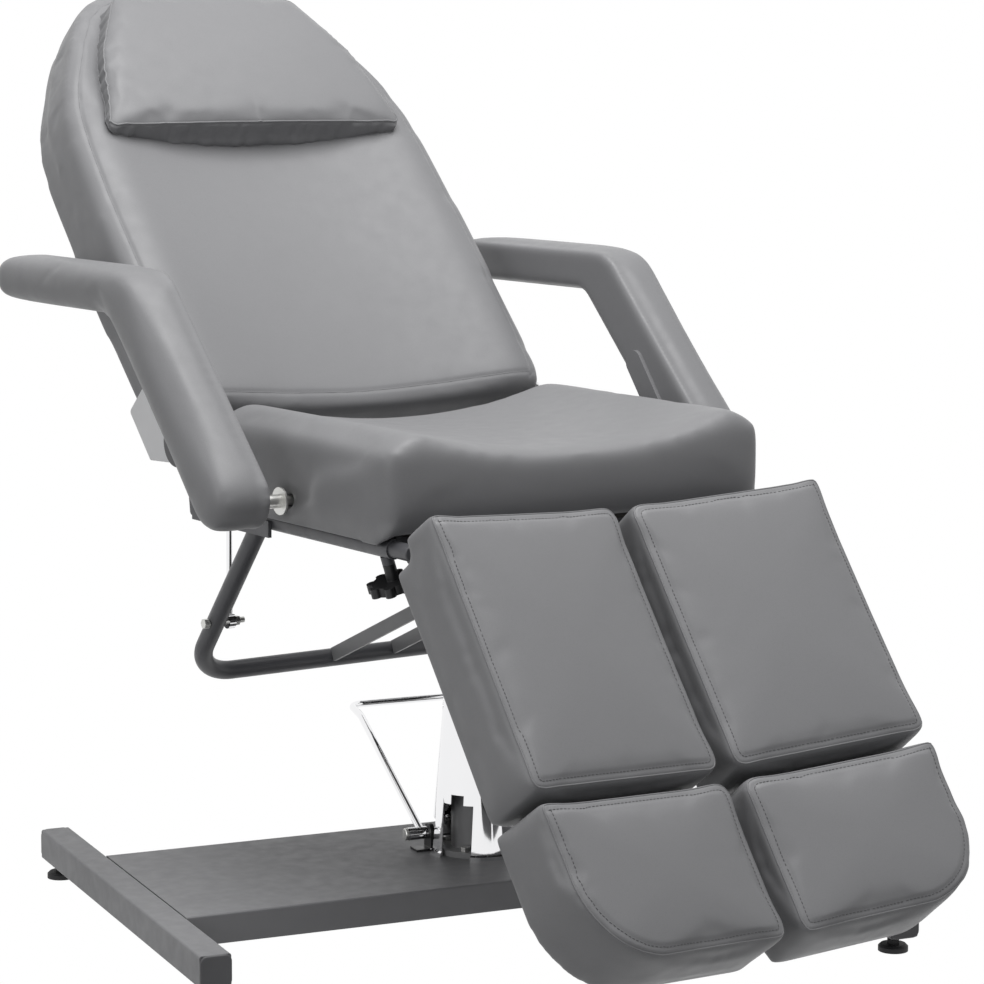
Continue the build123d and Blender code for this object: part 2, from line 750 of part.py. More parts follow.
# Armrest lugs stand on the rails, and the pivot bolts run out through the cushion's sides
with BuildPart() as arm_lug:
    with BuildSketch(side_plane(frame_half_width - arm_lug_thickness / 2)):
        lug_foot = rail_z + tube_radius + seat_gap
        with Locations((arm_pivot_y, (lug_foot + arm_pivot_z) / 2)):
            Rectangle(arm_lug_width, arm_pivot_z - lug_foot)
        with Locations((arm_pivot_y, arm_pivot_z)):
            Circle(arm_lug_width / 2)
            Circle(arm_bolt_radius + running_gap, mode=Mode.SUBTRACT)
    extrude(amount=arm_lug_thickness)
write_piece(both_sides(arm_lug.part), "arm_lugs")

arm_inner_x = arm_centre_x - arm_width / 2
arm_plate_x = arm_inner_x - arm_plate_thickness
arm_washer_x = seat_half_width + seat_gap
arm_nut_x = frame_half_width - arm_lug_thickness / 2 - seat_gap - arm_nut_length
with BuildPart() as arm_bolt:
    bolt_stack = [
        (arm_nut_x, arm_inner_x - seat_gap, arm_bolt_radius),
        (arm_washer_x, arm_washer_x + arm_washer_thickness, arm_washer_radius),
        (arm_washer_x, arm_plate_x - seat_gap, arm_spacer_radius),
    ]
    for start_x, end_x, radius in bolt_stack:
        with BuildSketch(side_plane(start_x)):
            with Locations((arm_pivot_y, arm_pivot_z)):
                Circle(radius)
        extrude(amount=end_x - start_x)
    with BuildSketch(side_plane(arm_nut_x)):
        with Locations((arm_pivot_y, arm_pivot_z)):
            RegularPolygon(arm_nut_radius, 6)
    extrude(amount=arm_nut_length)
write_piece(both_sides(arm_bolt.part), "arm_pivot_bolts")

# Armrest pad: a leg at 45 degrees that bends into a level rest with a rounded tip
arm_half = arm_leg_thickness / 2
arm_slant = arm_half * math.sqrt(0.5)
arm_tip_half = (arm_top_z - arm_under_z) / 2
arm_tip_z = (arm_top_z + arm_under_z) / 2
with BuildPart() as armrest_pad:
    with BuildSketch(side_plane(arm_inner_x)) as arm_sketch:
        low_front = (arm_low_y - arm_slant, arm_low_z + arm_slant)
        low_rear = (arm_low_y + arm_slant, arm_low_z - arm_slant)
        bend_out = (low_front[0] + arm_top_z - low_front[1], arm_top_z)
        bend_in = (low_rear[0] + arm_under_z - low_rear[1], arm_under_z)
        tip_low = (arm_tip_y - arm_tip_half, arm_under_z)
        tip_high = (arm_tip_y - arm_tip_half, arm_top_z)
        with BuildLine():
            ThreePointArc(low_front, (arm_low_y - arm_slant, arm_low_z - arm_slant), low_rear)
            Line(low_rear, bend_in)
            Line(bend_in, tip_low)
            ThreePointArc(tip_low, (arm_tip_y, arm_tip_z), tip_high)
            Line(tip_high, bend_out)
            Line(bend_out, low_front)
        make_face()
        fillet(arm_sketch.vertices().sort_by_distance(bend_out)[0], arm_outer_bend)
        fillet(arm_sketch.vertices().sort_by_distance(bend_in)[0], arm_inner_bend)
    extrude(amount=arm_width)
    fillet(armrest_pad.edges().group_by(Axis.X)[-1], arm_edge_round)
    fillet(armrest_pad.edges().group_by(Axis.X)[0], arm_edge_round / 2)
write_pair(armrest_pad.part, "armrest_pad")

with BuildPart() as armrest_plate:
    with BuildSketch(side_plane(arm_plate_x)):
        plate_rise = arm_plate_reach * math.sqrt(0.5)
        with BuildLine():
            plate_line = Line(
                (arm_pivot_y, arm_pivot_z), (arm_pivot_y + plate_rise, arm_pivot_z + plate_rise + arm_slant)
            )
        with BuildSketch(mode=Mode.PRIVATE) as ends:
            with Locations(plate_line @ 0, plate_line @ 1):
                Circle(arm_plate_width / 2)
        make_hull(ends.edges())
        with Locations((arm_pivot_y, arm_pivot_z)):
            Circle(arm_bolt_radius + running_gap, mode=Mode.SUBTRACT)
    extrude(amount=arm_plate_thickness)
write_pair(armrest_plate.part, "armrest_plate")

# Backrest, drawn on its own face plane: X across, Y up the face, Z out of the padding
back_sin = math.sin(math.radians(back_turn))
back_cos = math.cos(math.radians(back_turn))
back_plane = Plane(origin=(0, back_foot_y, back_foot_z), x_dir=(1, 0, 0), z_dir=(0, -back_sin, back_cos))


def back_point(up, depth):
    """The chair's Y and Z of a point of the backrest, from its place up the face and its depth."""
    return (
        back_foot_y + up * back_cos + depth * back_sin,
        back_foot_z + up * back_sin - depth * back_cos,
    )


def back_side_plane(x):
    """A plane across the backrest at x, with up-the-face to its right and out-of-the-face up."""
    return Plane(origin=(x, back_foot_y, back_foot_z), x_dir=(0, back_cos, back_sin), z_dir=(1, 0, 0))


# Half-widths and heights of the outline, as shares of the backrest's half-width and length
back_outline_shares = {
    "foot": (0.94, 0.0),
    "low": (0.975, 0.06),
    "widest": (1.0, 0.26),
    "waist": (0.98, 0.606),
    "shoulder": (0.948, 0.69),
    "high": (0.667, 0.904),
    "crown": (0.43, 0.979),
    "top": (0.0, 1.0),
}
back_outline = {
    place: (half * back_half_width, up * back_length) for place, (half, up) in back_outline_shares.items()
}
with BuildPart() as back_form:
    with BuildSketch(back_plane):
        with BuildLine():
            Line((0, 0), back_outline["foot"])
            Line(back_outline["foot"], back_outline["low"])
            ThreePointArc(back_outline["low"], back_outline["widest"], back_outline["waist"])
            Line(back_outline["waist"], back_outline["shoulder"])
            Line(back_outline["shoulder"], back_outline["high"])
            crown_left = (-back_outline["crown"][0], back_outline["crown"][1])
            Line(back_outline["high"], back_outline["crown"])
            ThreePointArc(back_outline["crown"], back_outline["top"], crown_left)
            Line(crown_left, (-back_outline["high"][0], back_outline["high"][1]))
            Line(
                (-back_outline["high"][0], back_outline["high"][1]),
                (-back_outline["shoulder"][0], back_outline["shoulder"][1]),
            )
            Line(
                (-back_outline["shoulder"][0], back_outline["shoulder"][1]),
                (-back_outline["waist"][0], back_outline["waist"][1]),
            )
            ThreePointArc(
                (-back_outline["waist"][0], back_outline["waist"][1]),
                (-back_outline["widest"][0], back_outline["widest"][1]),
                (-back_outline["low"][0], back_outline["low"][1]),
            )
            Line((-back_outline["low"][0], back_outline["low"][1]), (-back_outline["foot"][0], 0))
            Line((-back_outline["foot"][0], 0), (0, 0))
        make_face()
    extrude(amount=-back_thickness)
with BuildPart() as back_across:
    with BuildSketch(Plane(origin=back_plane.from_local_coords(Vector(0, -overrun, 0)), x_dir=(1, 0, 0), z_dir=(0, back_cos, back_sin))):
        with BuildLine():
            Polyline(
                (-back_crest_x, 0),
                (-back_half_width, back_edge_drop),
                (-back_half_width, back_thickness),
                (back_half_width, back_thickness),
                (back_half_width, back_edge_drop),
                (back_crest_x, 0),
            )
            ThreePointArc((-back_crest_x, 0), (0, back_dish), (back_crest_x, 0))
        make_face()
    extrude(amount=back_length + 2 * overrun)
with BuildPart() as back_along:
    with BuildSketch(back_side_plane(-back_half_width - overrun)):
        with BuildLine():
            Line((0, -back_thickness), (back_length, -back_thickness))
            Line((back_length, -back_thickness), (back_length, -back_end_round))
            RadiusArc((back_length, -back_end_round), (back_length - back_end_round, 0), -back_end_round)
            Line((back_length - back_end_round, 0), (back_end_round, 0))
            RadiusArc((back_end_round, 0), (0, -back_end_round), -back_end_round)
            Line((0, -back_end_round), (0, -back_thickness))
        make_face()
    extrude(amount=2 * back_half_width + 2 * overrun)

back_board_shares = [(0.856, 0.03), (0.856, 0.66), (0.5, 0.93)]
back_board_outline = [(half * back_half_width, up * back_length) for half, up in back_board_shares]
back_board_outline += [(-half, up) for half, up in reversed(back_board_outline)]


def back_board_form(grow):
    """The backrest board, or with grow its pocket in the cushion."""
    with BuildPart() as board:
        with BuildSketch(back_plane.offset(-back_thickness)):
            with BuildLine():
                Polyline(*back_board_outline, close=True)
            make_face()
            offset(amount=grow)
        extrude(amount=plywood + grow)
    return board.part


write_piece(back_board_form(0), "backrest_board")
with BuildPart() as backrest_cushion:
    add(crowned(back_form.part, back_across.part, back_along.part))
    add(back_board_form(seat_gap), mode=Mode.SUBTRACT)
write_piece(backrest_cushion.part, "backrest_cushion")

# Fixed brackets carry the recline pins behind the seat
bracket_x = frame_half_width + tube_radius + seat_gap
with BuildPart() as recline_bracket:
    with BuildSketch(side_plane(bracket_x)):
        bracket_top = seat_bottom - 2 * running_gap - seat_gap * 5
        with BuildSketch(mode=Mode.PRIVATE) as bracket_arm:
            with Locations((hinge_y, hinge_z)):
                Circle(bracket_eye_radius)
            with Locations((seat_rear_y + bracket_bar / 2, bracket_top - bracket_bar / 2)):
                Circle(bracket_bar / 4)
            with Locations((hinge_y, bracket_top - bracket_bar / 2)):
                Circle(bracket_bar / 4)
        make_hull(bracket_arm.edges())
        with Locations(((rear_bar_y + hinge_y) / 2, bracket_top - bracket_bar / 2)):
            Rectangle(hinge_y - rear_bar_y, bracket_bar)
        with Locations((hinge_y, hinge_z)):
            Circle(hinge_pin_radius + running_gap, mode=Mode.SUBTRACT)
    extrude(amount=hinge_plate_thickness)
write_piece(both_sides(recline_bracket.part), "recline_brackets")

pin_head_x = bracket_x - seat_gap - hinge_pin_head
pin_collar_x = bracket_x + hinge_plate_thickness + seat_gap
with BuildPart() as recline_pin:
    pin_stack = [
        (pin_head_x, pin_head_x + hinge_pin_head, hinge_pin_radius * 1.7),
        (pin_head_x, lever_x + hinge_plate_thickness, hinge_pin_radius),
        (pin_collar_x, lever_x - seat_gap, hinge_pin_radius * 1.8),
    ]
    for start_x, end_x, radius in pin_stack:
        with BuildSketch(side_plane(start_x)):
            with Locations((hinge_y, hinge_z)):
                Circle(radius)
        extrude(amount=end_x - start_x)
write_piece(both_sides(recline_pin.part), "recline_pins")

# Recline levers: plates that wrap the backrest's lower corners and carry the struts' upper pins
lever_back = back_thickness + seat_gap
with BuildPart() as recline_lever:
    with BuildSketch(side_plane(lever_x)):
        with BuildSketch(mode=Mode.PRIVATE) as lever_outline:
            with Locations((hinge_y, hinge_z)):
                Circle(lever_disc_radius)
            with Locations((link_y, link_z)):
                Circle(link_pin_radius * 3)
            with Locations(
                back_point(lever_up, back_thickness * 0.65),
                back_point(lever_up, lever_back),
                back_point(lever_up / 8, lever_back),
            ):
                Circle(hinge_plate_thickness)
        make_hull(lever_outline.edges())
        with Locations((hinge_y, hinge_z)):
            Circle(hinge_pin_radius + running_gap, mode=Mode.SUBTRACT)
    extrude(amount=hinge_plate_thickness)
    with BuildSketch(back_plane.offset(-lever_back)):
        with Locations((lever_x + hinge_plate_thickness - lever_flange_reach / 2, lever_up * 9 / 16)):
            Rectangle(lever_flange_reach, lever_up * 7 / 8)
    extrude(amount=-hinge_plate_thickness)
    with BuildSketch(side_plane(strut_x - strut_eye_half_width - 3 * seat_gap)):
        with Locations((link_y, link_z)):
            Circle(link_pin_radius)
    extrude(amount=lever_x - strut_x + strut_eye_half_width + 4 * seat_gap)
write_piece(both_sides(recline_lever.part), "recline_levers")

with BuildPart() as hinge_cover:
    with BuildSketch(side_plane(lever_x + hinge_plate_thickness + seat_gap)):
        with Locations((hinge_y, hinge_z)):
            Circle(cover_disc_radius)
    extrude(amount=cover_disc_thickness)
    fillet(hinge_cover.edges().group_by(Axis.X)[-1], cover_disc_thickness / 2)
write_piece(both_sides(hinge_cover.part), "hinge_covers")

# Struts: a rod stands on a bolt through each rear leg and slides in a sleeve hung from the lever
with BuildPart() as strut_rod:
    with BuildSketch(side_plane(strut_x - strut_eye_half_width)):
        with Locations((strut_y, strut_bolt_z)):
            Circle(strut_eye_radius)
    extrude(amount=2 * strut_eye_half_width)
    with BuildSketch(Plane(origin=(strut_x, strut_y, strut_bolt_z))):
        Circle(strut_rod_radius)
    extrude(amount=strut_rod_top - strut_bolt_z)
    chamfer(strut_rod.edges().group_by(Axis.Z)[-1], strut_rod_radius / 4)
    with BuildSketch(side_plane(strut_x - strut_eye_half_width)):
        with Locations((strut_y, strut_bolt_z)):
            Circle(strut_bolt_radius + running_gap)
    extrude(amount=2 * strut_eye_half_width, mode=Mode.SUBTRACT)
write_piece(both_sides(strut_rod.part), "strut_rods")

strut_head_x = frame_half_width + tube_radius + seat_gap
strut_nut_x = strut_x - strut_eye_half_width - seat_gap - strut_nut_length
with BuildPart() as strut_bolt:
    with BuildSketch(side_plane(strut_nut_x - strut_nut_length)):
        with Locations((strut_y, strut_bolt_z)):
            Circle(strut_bolt_radius)
    extrude(amount=strut_head_x - strut_nut_x + strut_nut_length)
    for start_x in (strut_head_x, strut_nut_x):
        with BuildSketch(side_plane(start_x)):
            with Locations((strut_y, strut_bolt_z)):
                RegularPolygon(strut_bolt_radius * 1.7, 6)
        extrude(amount=strut_nut_length)
write_piece(both_sides(strut_bolt.part), "strut_bolts")

with BuildPart() as strut_sleeve:
    with BuildSketch(side_plane(strut_x - strut_eye_half_width)):
        with Locations((link_y, link_z)):
            Circle(sleeve_radius)
    extrude(amount=2 * strut_eye_half_width)
    with BuildSketch(Plane(origin=(strut_x, link_y, sleeve_bottom))):
        Circle(sleeve_radius)
    extrude(amount=link_z - sleeve_bottom)
    with BuildSketch(Plane(origin=(strut_x, link_y, sleeve_bottom))):
        Circle(sleeve_bore)
    extrude(amount=sleeve_bore_top - sleeve_bottom, mode=Mode.SUBTRACT)
    with BuildSketch(side_plane(strut_x - sleeve_radius)):
        with Locations((link_y, link_z)):
            Circle(link_pin_radius + running_gap)
    extrude(amount=2 * sleeve_radius, mode=Mode.SUBTRACT)
write_pair(strut_sleeve.part, "strut_sleeve")

# Pillow: lies in the backrest's dish and tapers to a rounded top
pillow_waist_shares = [(0.83, 0.55), (0.62, 0.93)]
with BuildPart() as head_pillow:
    with BuildSketch(back_plane.offset(-back_dish)) as pillow_sketch:
        pillow_rise = pillow_high - pillow_low
        pillow_side = [
            (share * pillow_low_half_width, pillow_low + up * pillow_rise) for share, up in pillow_waist_shares
        ]
        with BuildLine():
            Polyline((0, pillow_low), (pillow_low_half_width, pillow_low), *pillow_side)
            ThreePointArc(
                pillow_side[-1],
                (pillow_top_half_width, pillow_high - pillow_edge / 2),
                (0, pillow_high),
            )
            mirror(about=Plane.YZ)
        make_face()
        fillet(pillow_sketch.vertices().group_by(Axis.Y)[0].group_by(Axis.X)[0], leg_corner)
        fillet(pillow_sketch.vertices().group_by(Axis.Y)[0].group_by(Axis.X)[-1], leg_corner)
    extrude(amount=back_dish + pillow_proud)
    across_start = back_plane.from_local_coords(Vector(0, pillow_low - overrun, 0))
    with BuildSketch(Plane(origin=across_start, x_dir=(1, 0, 0), z_dir=(0, back_cos, back_sin))):
        with BuildLine():
            ThreePointArc(
                (-back_crest_x, -pillow_gap), (0, back_dish - pillow_gap), (back_crest_x, -pillow_gap)
            )
            Polyline(
                (back_crest_x, -pillow_gap),
                (pillow_low_half_width, -pillow_gap),
                (pillow_low_half_width, -pillow_gap - pillow_edge),
            )
            ThreePointArc(
                (pillow_low_half_width, -pillow_gap - pillow_edge),
                (0, -pillow_proud),
                (-pillow_low_half_width, -pillow_gap - pillow_edge),
            )
            Polyline(
                (-pillow_low_half_width, -pillow_gap - pillow_edge),
                (-pillow_low_half_width, -pillow_gap),
                (-back_crest_x, -pillow_gap),
            )
        make_face()
    extrude(amount=pillow_rise + 2 * overrun, mode=Mode.INTERSECT)
write_piece(head_pillow.part, "head_pillow")

# Leg rests. The pitch frame runs down the calf; the roll tips each outer edge up
leg_sin = math.sin(math.radians(leg_turn))
leg_cos = math.cos(math.radians(leg_turn))
roll_sin = math.sin(math.radians(leg_roll))
roll_cos = math.cos(math.radians(leg_roll))
leg_plane = Plane(
    origin=(leg_root_x, leg_root_y, leg_root_z),
    x_dir=(roll_cos, -leg_sin * roll_sin, leg_cos * roll_sin),
    z_dir=(-roll_sin, -leg_sin * roll_cos, leg_cos * roll_cos),
)


def leg_point(down, depth):
    """The chair's Y and Z of a point of the unrolled leg frame, from how far down and how deep it is."""
    return (
        leg_root_y - down * leg_cos + depth * leg_sin,
        leg_root_z - down * leg_sin - depth * leg_cos,
    )


def leg_panel(start, end, big_round):
    """One padded panel of the right leg rest, between two distances down the leg."""
    with BuildPart() as outline:
        with BuildSketch(leg_plane) as panel_sketch:
            with BuildLine():
                Line((0, -start), (leg_width, -start))
                ThreePointArc(
                    (leg_width, -start), (leg_width - leg_draw_in, -(start + end) / 2), (leg_width, -end)
                )
                Line((leg_width, -end), (0, -end))
                Line((0, -end), (0, -start))
            make_face()
            corners = panel_sketch.vertices()
            outer_low = corners.sort_by(Axis.X)[-2:].sort_by(Axis.Y)[0]
            fillet(outer_low, big_round)
            others = panel_sketch.vertices().sort_by(Axis.X)
            fillet(others[:2], leg_corner)
        extrude(amount=-leg_thickness)
    deep = leg_thickness + overrun
    with BuildPart() as across:
        across_start = leg_plane.from_local_coords(Vector(0, -end - overrun, 0))
        right = leg_width + leg_crown_reach
        with BuildSketch(Plane(origin=across_start, x_dir=leg_plane.x_dir, z_dir=leg_plane.y_dir)):
            with BuildLine():
                Polyline((-leg_crown_reach, leg_crown), (-leg_crown_reach, deep), (right, deep), (right, leg_crown))
                ThreePointArc((right, leg_crown), (leg_width / 2, 0), (-leg_crown_reach, leg_crown))
            make_face()
        extrude(amount=end - start + 2 * overrun)
    with BuildPart() as along:
        along_start = leg_plane.from_local_coords(Vector(-overrun, 0, 0))
        top = leg_crown_reach - start
        low = -end - leg_crown_reach
        with BuildSketch(Plane(origin=along_start, x_dir=leg_plane.y_dir, z_dir=leg_plane.x_dir)):
            with BuildLine():
                Polyline((low, -leg_crown), (low, -deep), (top, -deep), (top, -leg_crown))
                ThreePointArc((top, -leg_crown), (-(start + end) / 2, 0), (low, -leg_crown))
            make_face()
        extrude(amount=leg_width + 2 * overrun)
    return crowned(outline.part, across.part, along.part)


def leg_board_form(start, end, grow):
    """A board behind a leg panel, or with grow its pocket in the cushion."""
    with BuildPart() as board:
        with BuildSketch(leg_plane.offset(-leg_thickness)):
            with Locations((leg_width / 2, -(start + end) / 2)):
                RectangleRounded(leg_width - 2 * leg_board_inset, end - start, leg_corner)
            offset(amount=grow)
        extrude(amount=plywood + grow)
    return board.part


calf_board_end = calf_length - leg_board_inset
foot_board_start = foot_start + leg_board_inset
foot_board_end = foot_end - foot_big_round / 2
write_pair(leg_board_form(leg_board_start, calf_board_end, 0), "calf_board")
write_pair(leg_board_form(foot_board_start, foot_board_end, 0), "foot_board")

with BuildPart() as calf_cushion:
    add(leg_panel(calf_start, calf_length, leg_corner))
    add(leg_board_form(leg_board_start, calf_board_end, seat_gap), mode=Mode.SUBTRACT)
    with BuildSketch(leg_plane.offset(-leg_rebate_depth)):
        with Locations((leg_width / 2, (overrun - leg_rebate_end) / 2)):
            Rectangle(leg_width + 2 * overrun, leg_rebate_end + overrun)
    extrude(amount=leg_rebate_depth - leg_thickness - overrun, mode=Mode.SUBTRACT)
write_pair(calf_cushion.part, "calf_cushion")

with BuildPart() as foot_cushion:
    add(leg_panel(foot_start, foot_end, foot_big_round))
    add(leg_board_form(foot_board_start, foot_board_end, seat_gap), mode=Mode.SUBTRACT)
write_pair(foot_cushion.part, "foot_cushion")

# Hinge straps: an eye on the carrier's shaft, a strip down the calf board and a sleeve for a slide rod
strip_depth = leg_thickness + seat_gap
rod_depth = strip_depth + strip_thickness + rod_sleeve_radius - seat_gap
strip_end = calf_board_end - leg_corner
with BuildPart() as leg_hinge:
    for across in leg_strap_places:
        strap_middle_x = leg_root_x + across * roll_cos + leg_thickness * roll_sin
        back_depth = leg_thickness * roll_cos - across * roll_sin
        with BuildSketch(side_plane(strap_middle_x - leg_eye_width / 2)):
            strip_top = leg_point(leg_rebate_end - leg_recess, back_depth + strip_thickness * 0.6)
            strip_low = leg_point(leg_board_start * 1.7, back_depth + strip_thickness * 1.8)
            with BuildSketch(mode=Mode.PRIVATE) as upper_outline:
                with Locations((leg_axis_y, leg_axis_z)):
                    Circle(leg_eye_radius)
                with Locations(strip_top):
                    Circle(strip_thickness / 2)
            make_hull(upper_outline.edges())
            with BuildSketch(mode=Mode.PRIVATE) as lower_outline:
                with Locations(strip_top, strip_low):
                    Circle(strip_thickness / 2)
            make_hull(lower_outline.edges())
        extrude(amount=leg_eye_width)
        with BuildSketch(leg_plane.offset(-strip_depth)):
            with Locations((across, -(leg_rebate_end - leg_recess + strip_end) / 2)):
                Rectangle(leg_eye_width, strip_end - leg_rebate_end + leg_recess)
        extrude(amount=-strip_thickness)
        sleeve_start = leg_plane.from_local_coords(Vector(across, -strip_end, -rod_depth))
        with BuildSketch(Plane(origin=sleeve_start, x_dir=leg_plane.x_dir, z_dir=leg_plane.y_dir)):
            Circle(rod_sleeve_radius)
        extrude(amount=rod_sleeve_length)
        with BuildSketch(Plane(origin=sleeve_start, x_dir=leg_plane.x_dir, z_dir=leg_plane.y_dir)):
            Circle(rod_radius + running_gap)
        extrude(amount=rod_sleeve_length, mode=Mode.SUBTRACT)
        with BuildSketch(side_plane(strap_middle_x - leg_eye_width)):
            with Locations((leg_axis_y, leg_axis_z)):
                Circle(leg_shaft_radius + running_gap)
        extrude(amount=2 * leg_eye_width, mode=Mode.SUBTRACT)
write_pair(leg_hinge.part, "leg_hinge")

with BuildPart() as foot_slide:
    for across in leg_strap_places:
        rod_foot = leg_plane.from_local_coords(Vector(across, -foot_board_end, -rod_depth))
        with BuildSketch(Plane(origin=rod_foot, x_dir=leg_plane.x_dir, z_dir=leg_plane.y_dir)):
            Circle(rod_radius)
        extrude(amount=foot_board_end - foot_board_start + rod_reach)
        for clamp_place in (foot_board_start + leg_eye_width, foot_board_end - leg_eye_width):
            with BuildSketch(leg_plane.offset(-strip_depth)):
                with Locations((across, -clamp_place)):
                    Rectangle(leg_eye_width, leg_eye_width)
            extrude(amount=-(rod_depth - strip_depth + rod_radius))
write_pair(foot_slide.part, "foot_slide")

# Leg carriers: a bar that slides in each rail's end, with the shaft that the leg rest hinges on
with BuildPart() as leg_carrier:
    with BuildSketch(Plane(origin=(frame_half_width, carrier_front_y, rail_z), z_dir=(0, 1, 0))):
        Circle(carrier_radius)
    extrude(amount=rail_front_y - carrier_front_y + carrier_inside)
    chamfer(leg_carrier.edges().group_by(Axis.Y)[0], carrier_radius / 10)
    with BuildSketch(side_plane(leg_shaft_inner_x)):
        with Locations((leg_axis_y, leg_axis_z)):
            Circle(leg_shaft_radius)
    extrude(amount=frame_half_width - leg_shaft_inner_x)
write_pair(leg_carrier.part, "leg_carrier")

# Star knobs clamp the carriers in the rails
with BuildPart() as star_knob:
    knob_face = knob_plane(1).offset(knob_drop - knob_height / 2)
    with BuildSketch(knob_face):
        Circle(knob_radius - knob_lobe_radius)
        with PolarLocations(knob_radius - knob_lobe_radius, knob_lobes):
            Circle(knob_lobe_radius)
    extrude(amount=knob_height)
    with BuildSketch(knob_plane(1).offset(carrier_radius + 2 * seat_gap)):
        Circle(knob_stem_radius)
    extrude(amount=knob_drop - knob_height / 2 - carrier_radius)
    with BuildSketch(knob_plane(1).offset(tube_radius + boss_height + seat_gap)):
        Circle(boss_radius)
    extrude(amount=knob_drop - knob_height / 2 - tube_radius - boss_height)
write_pair(star_knob.part, "leg_lock_knob")
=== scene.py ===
"""Looks of the treatment chair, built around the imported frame. Metres, in the frame's own axes."""
import json
import math

import bmesh
import bpy
import numpy as np
from mathutils import Matrix, Vector, noise
from mathutils.bvhtree import BVHTree
from mathutils.geometry import convex_hull_2d
from mathutils.kdtree import KDTree


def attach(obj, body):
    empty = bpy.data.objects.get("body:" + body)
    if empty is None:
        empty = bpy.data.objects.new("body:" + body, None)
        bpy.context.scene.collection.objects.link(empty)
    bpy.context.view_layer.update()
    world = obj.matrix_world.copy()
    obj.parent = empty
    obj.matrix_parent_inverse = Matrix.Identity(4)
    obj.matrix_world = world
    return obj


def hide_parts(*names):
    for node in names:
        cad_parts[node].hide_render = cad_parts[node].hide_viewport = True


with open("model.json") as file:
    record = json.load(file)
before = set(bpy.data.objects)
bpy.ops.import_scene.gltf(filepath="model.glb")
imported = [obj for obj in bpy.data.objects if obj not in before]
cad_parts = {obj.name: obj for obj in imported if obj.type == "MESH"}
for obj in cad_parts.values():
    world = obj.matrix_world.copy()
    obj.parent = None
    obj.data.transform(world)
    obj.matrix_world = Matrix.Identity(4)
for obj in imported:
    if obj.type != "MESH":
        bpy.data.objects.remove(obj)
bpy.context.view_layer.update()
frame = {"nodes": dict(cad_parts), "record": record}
scene = bpy.context.scene


# Frames that the cushions are drawn in: columns are across, along and out of the padding
def frame_of(origin, x_dir, y_dir, z_dir):
    """The matrix of a frame with this origin and these axes."""
    matrix = Matrix.Identity(4)
    for column, vector in enumerate((x_dir, y_dir, z_dir, origin)):
        for row in range(3):
            matrix[row][column] = vector[row]
    return matrix


LEG_TURN, LEG_ROLL = math.radians(53.1), math.radians(5.2)
LEG_GAP_HALF, LEG_TOP_Y, LEG_TOP_Z = 0.0087, -0.3174, 0.5759


def leg_frame(side):
    """The plane of a leg rest's face: side is -1 on the left and 1 on the right."""
    x_dir = Vector((
        math.cos(LEG_ROLL),
        -math.sin(LEG_TURN) * math.sin(LEG_ROLL),
        math.cos(LEG_TURN) * math.sin(LEG_ROLL),
    ))
    y_dir = Vector((0, math.cos(LEG_TURN), math.sin(LEG_TURN)))
    z_dir = x_dir.cross(y_dir)
    if side < 0:
        x_dir = Vector((x_dir.x, -x_dir.y, -x_dir.z))
        z_dir = Vector((-z_dir.x, z_dir.y, z_dir.z))
    return frame_of(Vector((side * LEG_GAP_HALF, LEG_TOP_Y, LEG_TOP_Z)), x_dir, y_dir, z_dir)


BACK_TURN = math.radians(46.6)
BACK_FOOT_Y, BACK_FOOT_Z = 0.2438, 0.654
BACK = frame_of(
    Vector((0, BACK_FOOT_Y, BACK_FOOT_Z)),
    Vector((1, 0, 0)),
    Vector((0, math.cos(BACK_TURN), math.sin(BACK_TURN))),
    Vector((0, -math.sin(BACK_TURN), math.cos(BACK_TURN))),
)
LEVEL = Matrix.Identity(4)


# Node materials
BEVEL_SAMPLES = 4
PAINT_EDGE, METAL_EDGE, PLASTIC_EDGE, THREAD_EDGE = 0.0012, 0.0006, 0.001, 0.0002
NOISE_LOW, NOISE_HIGH = 0.3, 0.7  # where most of a noise texture's values lie


